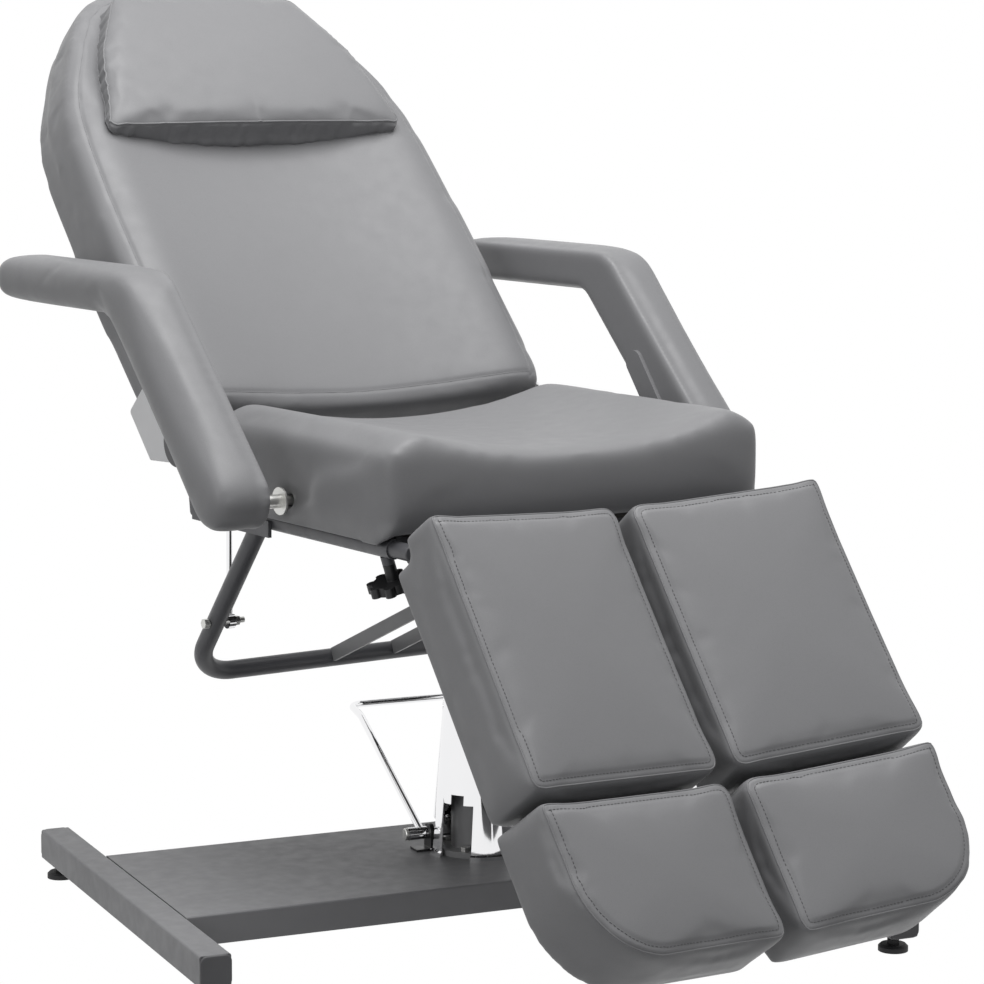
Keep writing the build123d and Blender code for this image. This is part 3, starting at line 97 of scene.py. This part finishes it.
class Nodes:
    """Short calls for a material's nodes."""

    def __init__(self, name):
        self.material = bpy.data.materials.new(name)
        self.material.use_nodes = True
        self.tree = self.material.node_tree
        self.tree.nodes.clear()
        out = self.tree.nodes.new("ShaderNodeOutputMaterial")
        self.shader = self.add("ShaderNodeBsdfPrincipled")
        self.link(self.shader.outputs[0], out.inputs["Surface"])
        self.place = self.add("ShaderNodeTexCoord").outputs["Object"]

    def add(self, kind, **values):
        """A node with the values that are its own, or its inputs', set by name."""
        node = self.tree.nodes.new(kind)
        for key, value in values.items():
            if hasattr(node, key):
                setattr(node, key, value)
            else:
                node.inputs[key.replace("_", " ")].default_value = value
        return node

    def link(self, a, b):
        self.tree.links.new(a, b)

    def noise(self, scale, detail=3.0, rough=0.5, stretch=None):
        """A cloud of values on the object, drawn out along an axis where stretch is given."""
        node = self.add("ShaderNodeTexNoise", Scale=scale, Detail=detail, Roughness=rough)
        source = self.place
        if stretch:
            shift = self.add("ShaderNodeMapping")
            shift.inputs["Scale"].default_value = stretch
            self.link(self.place, shift.inputs[0])
            source = shift.outputs[0]
        self.link(source, node.inputs["Vector"])
        return node.outputs["Fac"]

    def cells(self, scale):
        """The distance to the nearest edge between cells."""
        node = self.add("ShaderNodeTexVoronoi", feature="DISTANCE_TO_EDGE")
        node.inputs["Scale"].default_value = scale
        self.link(self.place, node.inputs["Vector"])
        return node.outputs["Distance"]

    def span(self, value, low, high, out_low, out_high):
        """The value carried from one range to another."""
        node = self.add("ShaderNodeMapRange")
        for i, v in enumerate((low, high, out_low, out_high)):
            node.inputs[i + 1].default_value = v
        self.link(value, node.inputs[0])
        return node.outputs[0]

    def spread(self, value, out_low=0, out_high=1):
        """A noise's usual values carried to a range."""
        return self.span(value, NOISE_LOW, NOISE_HIGH, out_low, out_high)

    def blend(self, value, first, second):
        """From one colour to another; either may be a node's output."""
        node = self.add("ShaderNodeMix", data_type="RGBA")
        self.link(value, node.inputs[0])
        for socket, colour in ((node.inputs[6], first), (node.inputs[7], second)):
            if isinstance(colour, (tuple, list)):
                socket.default_value = (*colour, 1)
            else:
                self.link(colour, socket)
        return node.outputs[2]

    def rounded(self, radius):
        """A bevel node, which rounds the edges in the shading."""
        node = self.add("ShaderNodeBevel", samples=BEVEL_SAMPLES)
        node.inputs["Radius"].default_value = radius
        return node

    def bump(self, height, strength, distance, normal=None):
        node = self.add("ShaderNodeBump", Strength=strength, Distance=distance)
        self.link(height, node.inputs["Height"])
        if normal:
            self.link(normal, node.inputs["Normal"])
        return node.outputs[0]

    def finish(self, colour, rough, normal=None, **constants):
        """The material, with its colour, roughness and relief linked."""
        self.link(colour, self.shader.inputs["Base Color"])
        self.link(rough, self.shader.inputs["Roughness"])
        if normal:
            self.link(normal, self.shader.inputs["Normal"])
        for key, value in constants.items():
            self.shader.inputs[key.replace("_", " ")].default_value = value
        return self.material


def tint(colour, factor):
    """The colour made lighter or darker."""
    return tuple(min(1.0, c * factor) for c in colour)


def leather(name, colour):
    """Grained faux leather: small pebbles, faint long ripples, and painted shade that makes the hollows
    between the pebbles a touch darker.
    """
    n = Nodes(name)
    pebbles = n.cells(620)
    fine = n.noise(1500, 2)
    broad = n.noise(7, 3, 0.55)
    patch = n.noise(2.2, 2)
    shade = n.blend(n.spread(patch), tint(colour, 0.97), tint(colour, 1.04))
    # Painted shade: the hollows between the pebbles are darkened.
    valley_shade = n.span(pebbles, 0.0, 0.12, 1.0, 0.0)
    shade = n.blend(n.span(valley_shade, 0, 1, 0, 0.22), shade, tint(colour, 0.62))
    rough = n.spread(n.noise(40, 2), 0.43, 0.53)
    normal = n.bump(broad, 0.35, 0.004)
    normal = n.bump(n.span(pebbles, 0, 0.25, 0, 1), 0.10, 0.0003, normal)
    normal = n.bump(fine, 0.05, 0.0002, normal)
    return n.finish(shade, rough, normal, Specular_IOR_Level=0.42, Sheen_Weight=0.04)


def painted(name, colour, rough):
    """Powder coat on steel: orange peel, rounded edges and slightly paler rubbed edges."""
    n = Nodes(name)
    soft = n.rounded(PAINT_EDGE)
    cloud = n.noise(5, 4, 0.6)
    shade = n.blend(n.spread(cloud), tint(colour, 0.93), tint(colour, 1.07))
    facing = n.add("ShaderNodeVectorMath", operation="DOT_PRODUCT")
    plain = n.add("ShaderNodeNewGeometry")
    n.link(soft.outputs[0], facing.inputs[0])
    n.link(plain.outputs["Normal"], facing.inputs[1])
    worn = n.span(facing.outputs["Value"], 0.995, 0.9, 0.0, 0.35)
    shade = n.blend(worn, shade, tint(colour, 1.6))
    mottle = n.spread(n.noise(60, 3), rough - 0.05, rough + 0.07)
    normal = n.bump(n.noise(900, 2), 0.12, 0.0003, soft.outputs[0])
    return n.finish(shade, mottle, normal, Specular_IOR_Level=0.5)


def metal(name, colour, rough, smear):
    """Bare or plated metal with fine directional marks."""
    n = Nodes(name)
    soft = n.rounded(METAL_EDGE)
    marks = n.noise(30, 4, 0.6, (1, 1, 22))
    shade = n.blend(n.spread(marks), tint(colour, 0.92), colour)
    dull = n.spread(n.noise(18, 3), rough, rough + smear)
    normal = n.bump(marks, 0.05, 0.0002, soft.outputs[0])
    return n.finish(shade, dull, normal, Metallic=1.0)


def plated(name, colour, rough):
    """Polished chrome with a faint haze and no marks."""
    n = Nodes(name)
    haze = n.noise(9, 3)
    shade = n.blend(n.spread(haze), tint(colour, 0.97), colour)
    return n.finish(shade, n.spread(haze, rough, rough + 0.04), Metallic=1.0)


def plastic(name, colour, rough, edge=PLASTIC_EDGE):
    """Moulded plastic with a spark-eroded skin."""
    n = Nodes(name)
    soft = n.rounded(edge)
    grain = n.noise(1300, 2)
    shade = n.blend(n.spread(n.noise(12, 3)), tint(colour, 0.88), tint(colour, 1.14))
    dull = n.spread(grain, rough - 0.04, rough + 0.08)
    normal = n.bump(grain, 0.16, 0.0003, soft.outputs[0])
    return n.finish(shade, dull, normal, Specular_IOR_Level=0.4)


def timber(name, light, dark):
    """Stained plywood: stretched grain on the faces and thin plies seen at the edges."""
    n = Nodes(name)
    grain = n.noise(26, 5, 0.6, (9, 1, 1))
    plies = n.add("ShaderNodeTexWave", wave_type="BANDS", bands_direction="DIAGONAL")
    plies.inputs["Scale"].default_value = 95
    plies.inputs["Distortion"].default_value = 1.5
    n.link(n.place, plies.inputs["Vector"])
    shade = n.blend(n.spread(grain), dark, light)
    shade = n.blend(n.span(plies.outputs["Fac"], 0, 1, 0, 0.3), shade, tint(dark, 0.7))
    rough = n.spread(grain, 0.55, 0.72)
    return n.finish(shade, rough, n.bump(grain, 0.2, 0.0004), Specular_IOR_Level=0.3)


GREY = (0.215, 0.215, 0.222)
skin = leather("grey_faux_leather", GREY)
piping = leather("grey_piping", tint(GREY, 0.93))
thread = plastic("stitch_thread", (0.10, 0.10, 0.105), 0.6, THREAD_EDGE)
finishes = {
    "base_paint": painted("base_powder_coat", (0.185, 0.185, 0.192), 0.5),
    "cap_plastic": plastic("cap_moulded", (0.09, 0.09, 0.095), 0.45),
    "foot_rubber": plastic("foot_moulded_rubber", (0.016, 0.016, 0.017), 0.6),
    # Painted light: the pump's grey is paler than the base's coat so that it reads light in the shade of
    # the shroud's slot.
    "pump_paint": painted("pump_enamel_painted_light", (0.26, 0.26, 0.265), 0.4),
    "steel": metal("zinc_plated_steel", (0.62, 0.62, 0.60), 0.28, 0.14),
    "chrome": plated("polished_chrome", (0.88, 0.88, 0.89), 0.04),
    "black_paint": painted("black_enamel", (0.018, 0.018, 0.019), 0.35),
    "frame_paint": painted("frame_powder_coat", (0.085, 0.086, 0.093), 0.42),
    "plywood": timber("stained_plywood", (0.040, 0.036, 0.033), (0.024, 0.021, 0.019)),
    # Painted light: the straps' coat is paler than the frame's, for the light that their flat faces catch
    # from the left and from below.
    "strap_paint": painted("strap_coat_painted_light", (0.24, 0.24, 0.245), 0.42),
    "lever_metal": painted("light_lever_coat", (0.84, 0.84, 0.85), 0.4),
    "knob_plastic": plastic("knob_moulded", (0.014, 0.014, 0.015), 0.38),
    "upholstery": skin,
}
for row in frame["record"]["subparts"]:
    node = frame["nodes"][row["node"]]
    node.data.materials.clear()
    node.data.materials.append(finishes[row["material_slot"]])
# The armrest plates lie in the pads' inner faces, where the cover hides them
for hand in ("left", "right"):
    frame["nodes"][f"armrest_plate_{hand}"].data.materials[0] = skin


# Mesh helpers
TINY = 1e-9
NO_LENGTH = 1e-6
SEAM_STEP = 0.005
SEAM_DEPTH, SEAM_WIDTH = 0.0012, 0.006


def link_mesh(name, mesh, material):
    """A new object in the scene with this mesh and one material."""
    piece = bpy.data.objects.new(name, mesh)
    scene.collection.objects.link(piece)
    mesh.materials.clear()
    mesh.materials.append(material)
    return piece


def vertex_rows(mesh, field):
    """One row of three numbers for each vertex."""
    rows = np.empty(len(mesh.vertices) * 3)
    mesh.vertices.foreach_get(field, rows)
    return rows.reshape(-1, 3)


def coords(mesh):
    return vertex_rows(mesh, "co")


def set_coords(mesh, co):
    mesh.vertices.foreach_set("co", np.ascontiguousarray(co, dtype=np.float32).ravel())
    mesh.update()


def edges_of(mesh):
    """The two vertices of each edge."""
    pairs = np.empty(len(mesh.edges) * 2, dtype=np.int64)
    mesh.edges.foreach_get("vertices", pairs)
    return pairs.reshape(-1, 2)


def shaded_smooth(mesh):
    mesh.polygons.foreach_set("use_smooth", np.ones(len(mesh.polygons), dtype=bool))


def eased(co, pairs, times):
    """The points drawn halfway towards their neighbours' middle, so many times."""
    count = np.zeros(len(co))
    np.add.at(count, pairs[:, 0], 1)
    np.add.at(count, pairs[:, 1], 1)
    for _ in range(times):
        total = np.zeros_like(co)
        for axis in range(3):
            total[:, axis] = np.bincount(pairs[:, 0], co[pairs[:, 1], axis], len(co)) + np.bincount(
                pairs[:, 1], co[pairs[:, 0], axis], len(co)
            )
        co = co + 0.5 * (total / count[:, None] - co)
    return co


def apply_modifiers(piece):
    """Gives the piece the mesh that its modifiers make."""
    graph = bpy.context.evaluated_depsgraph_get()
    mesh = bpy.data.meshes.new_from_object(piece.evaluated_get(graph))
    piece.modifiers.clear()
    old = piece.data
    piece.data = mesh
    bpy.data.meshes.remove(old)


def smooth_step(value, low, high):
    """0 below low, 1 above high and a soft rise between them."""
    t = np.clip((value - low) / (high - low), 0, 1)
    return t * t * (3 - 2 * t)


SWELL_FRAMES = 20
SWELL_SETTINGS = {
    "quality": 4,
    "mass": 0.3,
    "use_pressure": True,
    "uniform_pressure_force": 4.0,
    "tension_stiffness": 20,
    "compression_stiffness": 20,
    "shear_stiffness": 8,
    "bending_stiffness": 1.5,
}


def swell(piece, cap, hold):
    """Cloth under pressure; no point moves further than cap, and hold 0 keeps a point still."""
    rest = coords(piece.data)
    cloth = piece.modifiers.new("swell", "CLOTH")
    for key, value in SWELL_SETTINGS.items():
        setattr(cloth.settings, key, value)
    cloth.settings.effector_weights.gravity = 0
    for step in range(SWELL_FRAMES):
        scene.frame_set(step + 1)
    graph = bpy.context.evaluated_depsgraph_get()
    moved = coords(piece.evaluated_get(graph).data)
    piece.modifiers.clear()
    scene.frame_set(1)
    shift = moved - rest
    length = np.linalg.norm(shift, axis=1)
    shift *= np.minimum(1, cap / np.maximum(length, TINY))[:, None]
    set_coords(piece.data, rest + shift * hold[:, None])


def free_above(low, high):
    """How freely points may move: not below low along the frame's third axis, and fully above high."""
    return lambda co: smooth_step(co[:, 2], low, high)


WELD = 1e-5
FINE_VOXEL, BROAD_VOXEL = 0.005, 0.006


def padding(name, node, body, place, ease, free_share, still=5, cap=0.003, voxel=FINE_VOXEL, shaped=None):
    """A cushion in place of its CAD solid, remeshed in its own frame, eased, swollen and subdivided.

    ease counts the easing passes, of which the first few, still, reach every point. free_share gives,
    from the points in the cushion's own frame, how freely each may move, from 0 to 1, and shaped moves
    those points before they swell.
    """
    mesh = frame["nodes"][node].data.copy()
    piece = link_mesh(name, mesh, skin)
    mesh.transform(place.inverted())
    build = bmesh.new()
    build.from_mesh(mesh)
    bmesh.ops.remove_doubles(build, verts=build.verts, dist=WELD)
    build.to_mesh(mesh)
    build.free()
    remesh = piece.modifiers.new("remesh", "REMESH")
    remesh.mode = "VOXEL"
    remesh.voxel_size = voxel
    apply_modifiers(piece)
    co = coords(piece.data)
    free = free_share(co)
    low, high = co.min(0), co.max(0)
    co = eased(co, edges_of(piece.data), min(ease, still))
    soft = eased(co, edges_of(piece.data), max(ease - still, 0))
    co = co + (soft - co) * free[:, None]
    co = low + (co - co.min(0)) * (high - low) / (co.max(0) - co.min(0))
    if shaped:
        co = shaped(co)
    set_coords(piece.data, co)
    swell(piece, cap, free)
    co = coords(piece.data)
    set_coords(piece.data, co + (eased(co, edges_of(piece.data), 2) - co) * free[:, None])
    split = piece.modifiers.new("split", "SUBSURF")
    split.levels = 1
    apply_modifiers(piece)
    piece.data.materials.clear()
    piece.data.materials.append(skin)
    piece.data.transform(place)
    shaded_smooth(piece.data)
    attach(piece, body)
    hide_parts(node)
    return piece


def resample(points, step):
    """Points evenly spaced along a closed line."""
    pts = [Vector(p) for p in points]
    pts.append(pts[0].copy())
    lengths = [0.0]
    for a, b in zip(pts, pts[1:]):
        lengths.append(lengths[-1] + (b - a).length)
    count = max(2, round(lengths[-1] / step))
    result, i = [], 0
    for k in range(count):
        want = lengths[-1] * k / count
        while i < len(pts) - 2 and lengths[i + 1] < want:
            i += 1
        share = (want - lengths[i]) / max(lengths[i + 1] - lengths[i], TINY)
        result.append(pts[i].lerp(pts[i + 1], share))
    return result


def plan_line(node, place, step):
    """The closed line round a CAD solid as seen along a frame's third axis."""
    back = place.inverted()
    flat = [(back @ Vector(c)).xy for c in coords(frame["nodes"][node].data)]
    ring = [Vector((*flat[i], 0)) for i in convex_hull_2d(flat)]
    return np.array([p[:2] for p in resample(ring, step)])


def softened(line, times):
    """A closed line with each point drawn halfway to its neighbours' middle, so many times."""
    for _ in range(times):
        line = 0.5 * line + 0.25 * (np.roll(line, 1, 0) + np.roll(line, -1, 0))
    return line


def outline_of(node, place, inset, depth, step=0.005):
    """The plan line of a cushion, inset from its edge and placed at one depth."""
    pts = softened(plan_line(node, place, step), 3)
    run = np.roll(pts, -1, 0) - np.roll(pts, 1, 0)
    run /= np.linalg.norm(run, axis=1)[:, None]
    out = np.stack([run[:, 1], -run[:, 0]], 1)
    if ((pts - pts.mean(0)) * out).sum() < 0:
        out = -out
    return [place @ Vector((x, y, depth)) for x, y in pts - out * inset]


def on_surface(piece, points, lift=0.0):
    """The points moved to the nearest place on a piece, with the surface's direction there."""
    corners = [v.co for v in piece.data.vertices]
    tree = BVHTree.FromPolygons(corners, [p.vertices[:] for p in piece.data.polygons])
    found = []
    for p in points:
        spot, normal, _, _ = tree.find_nearest(p)
        found.append((spot + normal * lift, normal))
    return found


def spots_on(piece, points):
    return [spot for spot, _ in on_surface(piece, points)]


def groove(piece, points, depth, width):
    """Presses a seam into a piece along a line."""
    tree = KDTree(len(points))
    for i, p in enumerate(points):
        tree.insert(p, i)
    tree.balance()
    co = coords(piece.data)
    normals = vertex_rows(piece.data, "normal")
    near = np.array([tree.find(Vector(c))[2] for c in co])
    t = np.clip(near / width, 0, 1)
    press = depth * (1 - t * t) ** 2
    set_coords(piece.data, co - normals * press[:, None])


def cord_mesh(name, points, radius, material):
    """A round piping along a closed line."""
    curve = bpy.data.curves.new(name, "CURVE")
    curve.dimensions = "3D"
    curve.bevel_depth = radius
    curve.bevel_resolution = 2
    spline = curve.splines.new("POLY")
    spline.points.add(len(points) - 1)
    for point, p in zip(spline.points, points):
        point.co = (*p, 1)
    spline.use_cyclic_u = True
    holder = bpy.data.objects.new(name, curve)
    scene.collection.objects.link(holder)
    graph = bpy.context.evaluated_depsgraph_get()
    mesh = bpy.data.meshes.new_from_object(holder.evaluated_get(graph))
    bpy.data.objects.remove(holder)
    shaded_smooth(mesh)
    return link_mesh(name, mesh, material)


STITCH_PITCH, STITCH_LENGTH, STITCH_RADIUS = 0.0055, 0.0038, 0.00045
STITCH_LIFT = 0.4  # of the radius
STITCH_SIDES = 5
STITCH_PROFILE = ((-0.5, 0.35), (-0.3, 1.0), (0.3, 1.0), (0.5, 0.35))  # along its length, of its radius


def add_stitch(build, start, run, normal):
    """One stitch from a point along a direction: a short thread with drawn-in ends."""
    side = normal.cross(run).normalized()
    top = run.cross(side)
    middle = start + run * STITCH_LENGTH / 2
    rings = []
    for along, share in STITCH_PROFILE:
        centre = middle + run * STITCH_LENGTH * along
        ring = []
        for k in range(STITCH_SIDES):
            angle = 2 * math.pi * k / STITCH_SIDES
            out = side * math.cos(angle) + top * math.sin(angle)
            ring.append(build.verts.new(centre + out * STITCH_RADIUS * share))
        rings.append(ring)
    for ring, following in zip(rings, rings[1:]):
        for k in range(STITCH_SIDES):
            m = (k + 1) % STITCH_SIDES
            build.faces.new((ring[k], ring[m], following[m], following[k]))
    build.faces.new(rings[0][::-1])
    build.faces.new(rings[-1])


def stitched(name, piece, points, body):
    """A row of thread stitches that lies on a piece along a closed line."""
    spots = on_surface(piece, resample(points, STITCH_PITCH), STITCH_RADIUS * STITCH_LIFT)
    build = bmesh.new()
    for i, (start, normal) in enumerate(spots):
        run = spots[(i + 1) % len(spots)][0] - start
        if run.length > NO_LENGTH:
            add_stitch(build, start, run.normalized(), normal)
    mesh = bpy.data.meshes.new(name)
    build.to_mesh(mesh)
    build.free()
    shaded_smooth(mesh)
    row = link_mesh(name, mesh, thread)
    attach(row, body)


def seam_line(name, piece, points, body, radius, lift=0.0):
    """A thin piping along a closed sewn edge."""
    spots = [p for p, _ in on_surface(piece, resample(points, SEAM_STEP), lift)]
    row = cord_mesh(name, spots, radius, piping)
    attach(row, body)


# Leg rests: a sewn edge and a row of stitches round each face
LEG_EDGE_INSET, LEG_EDGE_DEPTH, LEG_STITCH_INSET = 0.003, -0.006, 0.012
LEG_PIPING = 0.0012
leg_free = free_above(-0.104, -0.07)
for side, hand in ((-1, "left"), (1, "right")):
    place = leg_frame(side)
    for part, body in (("calf", f"leg_{hand}"), ("foot", f"footrest_{hand}")):
        node = f"{part}_cushion_{hand}"
        pad = padding(f"{part}_pad_{hand}", node, body, place, ease=10, free_share=leg_free, still=8)
        edge = spots_on(pad, outline_of(node, place, LEG_EDGE_INSET, LEG_EDGE_DEPTH))
        inner = outline_of(node, place, LEG_STITCH_INSET, 0.0)
        groove(pad, spots_on(pad, inner), SEAM_DEPTH, SEAM_WIDTH)
        seam_line(f"{part}_seam_{hand}", pad, edge, body, LEG_PIPING)
        stitched(f"{part}_stitches_{hand}", pad, inner, body)

# Seat
padding(
    "seat_pad", "seat_cushion", "seat_frame", LEVEL,
    ease=22, free_share=free_above(0.526, 0.56), cap=0.004, voxel=BROAD_VOXEL,
)

# Backrest, whose outline turns smoothly towards the head end
BACK_MIDDLE = np.array([0.0, 0.45])
BACK_LINE_STEP, BACK_LINE_PASSES = 0.004, 150
BACK_FADE_LOW, BACK_FADE_HIGH = 0.2, 0.4
BACK_SEAM_INSET, BACK_SEAM_STEP = 0.024, 0.006
BACK_PIPING, BACK_PIPING_LIFT = 0.0007, -0.0004


def round_middle(points):
    """Angle and distance of points round the backrest's middle, as seen in plan."""
    away = points[:, :2] - BACK_MIDDLE
    return np.arctan2(away[:, 1], away[:, 0]), np.linalg.norm(away, axis=1)


plain_line = plan_line("backrest_cushion", BACK, BACK_LINE_STEP)
plain_turn, plain_reach = round_middle(plain_line)
soft_turn, soft_reach = round_middle(softened(plain_line, BACK_LINE_PASSES))


def back_form(co):
    """The outline's corners drawn in above the waist."""
    co = co.copy()
    turn, _ = round_middle(co)
    share = np.interp(turn, soft_turn, soft_reach, period=2 * math.pi)
    share /= np.interp(turn, plain_turn, plain_reach, period=2 * math.pi)
    share = 1 + (share - 1) * smooth_step(co[:, 1], BACK_FADE_LOW, BACK_FADE_HIGH)
    co[:, :2] = BACK_MIDDLE + (co[:, :2] - BACK_MIDDLE) * share[:, None]
    return co


back = padding(
    "backrest_pad", "backrest_cushion", "backrest", BACK,
    ease=34, free_share=free_above(-0.118, -0.09), still=26,
    cap=0.004, voxel=BROAD_VOXEL, shaped=back_form,
)
back_edge = outline_of("backrest_cushion", BACK, BACK_SEAM_INSET, 0.0, BACK_SEAM_STEP)
back_edge = back_form(np.array([(BACK.inverted() @ p)[:] for p in back_edge]))
back_edge = spots_on(back, [BACK @ Vector(p) for p in back_edge])
groove(back, back_edge, SEAM_DEPTH, SEAM_WIDTH)
seam_line("backrest_seam", back, back_edge, "backrest", BACK_PIPING, BACK_PIPING_LIFT)

# Head pillow with piping round both edges of its gathered gusset
PILLOW_LOW, PILLOW_RISE, PILLOW_HALF = 0.484, 0.276, 0.24
PILLOW_LIFT, PILLOW_SIDE_LIFT, PILLOW_CROWN = 0.003, 0.009, 0.036
PILLOW_PIPING = 0.0015
PILLOW_FRONT_INSET, PILLOW_FRONT, PILLOW_REAR = 0.003, 0.024, 0.004
PLEAT_DEPTH, PLEATS_PER_METRE, PLEAT_STRETCH, PLEAT_START = 0.003, 75, 9, 3.7
BACK_DISH, BACK_CREST = 0.03, 0.25


def pillow_form(co):
    """The pillow's front plumped, most in the middle and at the sides."""
    co = co.copy()
    out = np.clip(np.abs(co[:, 0]) / PILLOW_HALF, 0, 1)
    front = smooth_step(co[:, 2], -0.004, 0.006)
    rise = (co[:, 1] - PILLOW_LOW) / PILLOW_RISE
    co[:, 2] += front * (PILLOW_LIFT + PILLOW_SIDE_LIFT * out**2 + PILLOW_CROWN * rise * (1 - rise))
    return co


def pleat_gusset(piece, place):
    """Small gathers that run across a gusset."""
    back = place.inverted()
    turn_back = back.to_3x3()
    co = coords(piece.data)
    normals = vertex_rows(piece.data, "normal")
    local = np.array([turn_back @ Vector(n) for n in normals])
    side = smooth_step(1 - np.abs(local[:, 2]), 0.45, 0.8)
    wave = []
    for c in co:
        x, y, z = back @ Vector(c)
        spot = Vector((x * PLEATS_PER_METRE, y * PLEATS_PER_METRE, z * PLEAT_STRETCH + PLEAT_START))
        wave.append(noise.noise(spot))
    set_coords(piece.data, co + normals * (side * np.array(wave) * PLEAT_DEPTH)[:, None])


pillow = padding(
    "pillow_pad", "head_pillow", "pillow", BACK,
    ease=7, free_share=free_above(-0.02, 0.0), cap=0.006, shaped=pillow_form,
)
pleat_gusset(pillow, BACK)
front_welt = outline_of("head_pillow", BACK, PILLOW_FRONT_INSET, PILLOW_FRONT)
seam_line("pillow_front_welt", pillow, front_welt, "pillow", PILLOW_PIPING)
rear_welt = []
for p in outline_of("head_pillow", BACK, 0.0, 0.0):
    q = BACK.inverted() @ p
    dish = BACK_DISH * (1 - min(1.0, abs(q.x) / BACK_CREST) ** 2)
    rear_welt.append(BACK @ Vector((q.x, q.y, PILLOW_REAR - dish)))
seam_line("pillow_rear_welt", pillow, rear_welt, "pillow", PILLOW_PIPING)

# Armrests, with tips that are round as seen from above too
ARM_INNER, ARM_MIDDLE = 0.351, 0.391
ARM_HELD_DEPTH = 0.02
ARM_TIP, ARM_TIP_REACH = 0.586, 0.045
ARM_TIP_SHARE, ARM_TIP_BLUNT = 0.35, 0.98


def arm_form(co):
    """The armrest's level end rounded in plan."""
    co = co.copy()
    past = np.clip((co[:, 1] - ARM_TIP + ARM_TIP_REACH) / ARM_TIP_REACH, 0, 1)
    width = ARM_TIP_SHARE + (1 - ARM_TIP_SHARE) * np.sqrt(1 - past**2 * ARM_TIP_BLUNT)
    middle = np.sign(co[:, 0]) * ARM_MIDDLE
    co[:, 0] = middle + (co[:, 0] - middle) * width
    return co


def free_outward(co):
    """How freely an armrest's points may move: not at the inner face, where its plate lies."""
    return smooth_step(np.abs(co[:, 0]), ARM_INNER, ARM_INNER + ARM_HELD_DEPTH)


for hand in ("left", "right"):
    padding(
        f"arm_pad_{hand}", f"armrest_pad_{hand}", f"arm_{hand}", LEVEL,
        ease=50, free_share=free_outward, shaped=arm_form,
    )

# Camera: the place, direction and lens that fit the photograph
CAMERA_PLACE = Vector((-2.35035, -3.45707, 1.12849))
CAMERA_YAW, CAMERA_PITCH, CAMERA_ROLL = 0.60132, 0.10742, 0.00208
CAMERA_LENS = 116.233
CAMERA_SENSOR = 36
CAMERA_SHIFT = -0.1
CAMERA_FAR = 60
forward = Vector(
    (
        math.sin(CAMERA_YAW) * math.cos(CAMERA_PITCH),
        math.cos(CAMERA_YAW) * math.cos(CAMERA_PITCH),
        -math.sin(CAMERA_PITCH),
    )
)
level = Vector((math.cos(CAMERA_YAW), -math.sin(CAMERA_YAW), 0))
upright = level.cross(forward)
right = level * math.cos(CAMERA_ROLL) + upright * math.sin(CAMERA_ROLL)
up = upright * math.cos(CAMERA_ROLL) - level * math.sin(CAMERA_ROLL)
data = bpy.data.cameras.new("camera")
data.lens = CAMERA_LENS
data.sensor_width = CAMERA_SENSOR
data.shift_y = CAMERA_SHIFT
data.clip_end = CAMERA_FAR
camera = bpy.data.objects.new("camera", data)
scene.collection.objects.link(camera)
camera.matrix_world = frame_of(CAMERA_PLACE, right, up, -forward)
scene.camera = camera


# Light: a wide soft source above and in front, a weaker one from the left, and a white room
def area_light(name, place, aim, size, power):
    """A rectangular lamp that points from its place to its aim."""
    data = bpy.data.lights.new(name, "AREA")
    data.shape = "RECTANGLE"
    data.size, data.size_y = size
    data.energy = power
    lamp = bpy.data.objects.new(name, data)
    scene.collection.objects.link(lamp)
    turn = (Vector(aim) - Vector(place)).to_track_quat("-Z", "Y")
    lamp.matrix_world = Matrix.Translation(Vector(place)) @ turn.to_matrix().to_4x4()


area_light("overhead", (-0.1, -0.35, 3.3), (0, 0, 0.5), (2.2, 2.0), 96)
area_light("left", (-3.4, -0.8, 1.5), (0, 0, 0.6), (1.6, 1.8), 20)

# The camera and mirrors see a plain white room, which lights the chair with a fraction of that
world = bpy.data.worlds.new("room")
scene.world = world
world.use_nodes = True
tree = world.node_tree
tree.nodes.clear()
room_out = tree.nodes.new("ShaderNodeOutputWorld")


def room_colour(colour, strength):
    node = tree.nodes.new("ShaderNodeBackground")
    node.inputs["Color"].default_value = (*colour, 1)
    node.inputs["Strength"].default_value = strength
    return node


seen = room_colour((1, 1, 1), 1.0)
lit = room_colour((0.98, 0.99, 1.0), 0.24)
chooser = tree.nodes.new("ShaderNodeMixShader")
rays = tree.nodes.new("ShaderNodeLightPath")
direct = tree.nodes.new("ShaderNodeMath")
direct.operation = "MAXIMUM"
tree.links.new(rays.outputs["Is Camera Ray"], direct.inputs[0])
tree.links.new(rays.outputs["Is Glossy Ray"], direct.inputs[1])
tree.links.new(direct.outputs[0], chooser.inputs[0])
tree.links.new(lit.outputs[0], chooser.inputs[1])
tree.links.new(seen.outputs[0], chooser.inputs[2])
tree.links.new(chooser.outputs[0], room_out.inputs[0])

scene.view_settings.view_transform = "Standard"
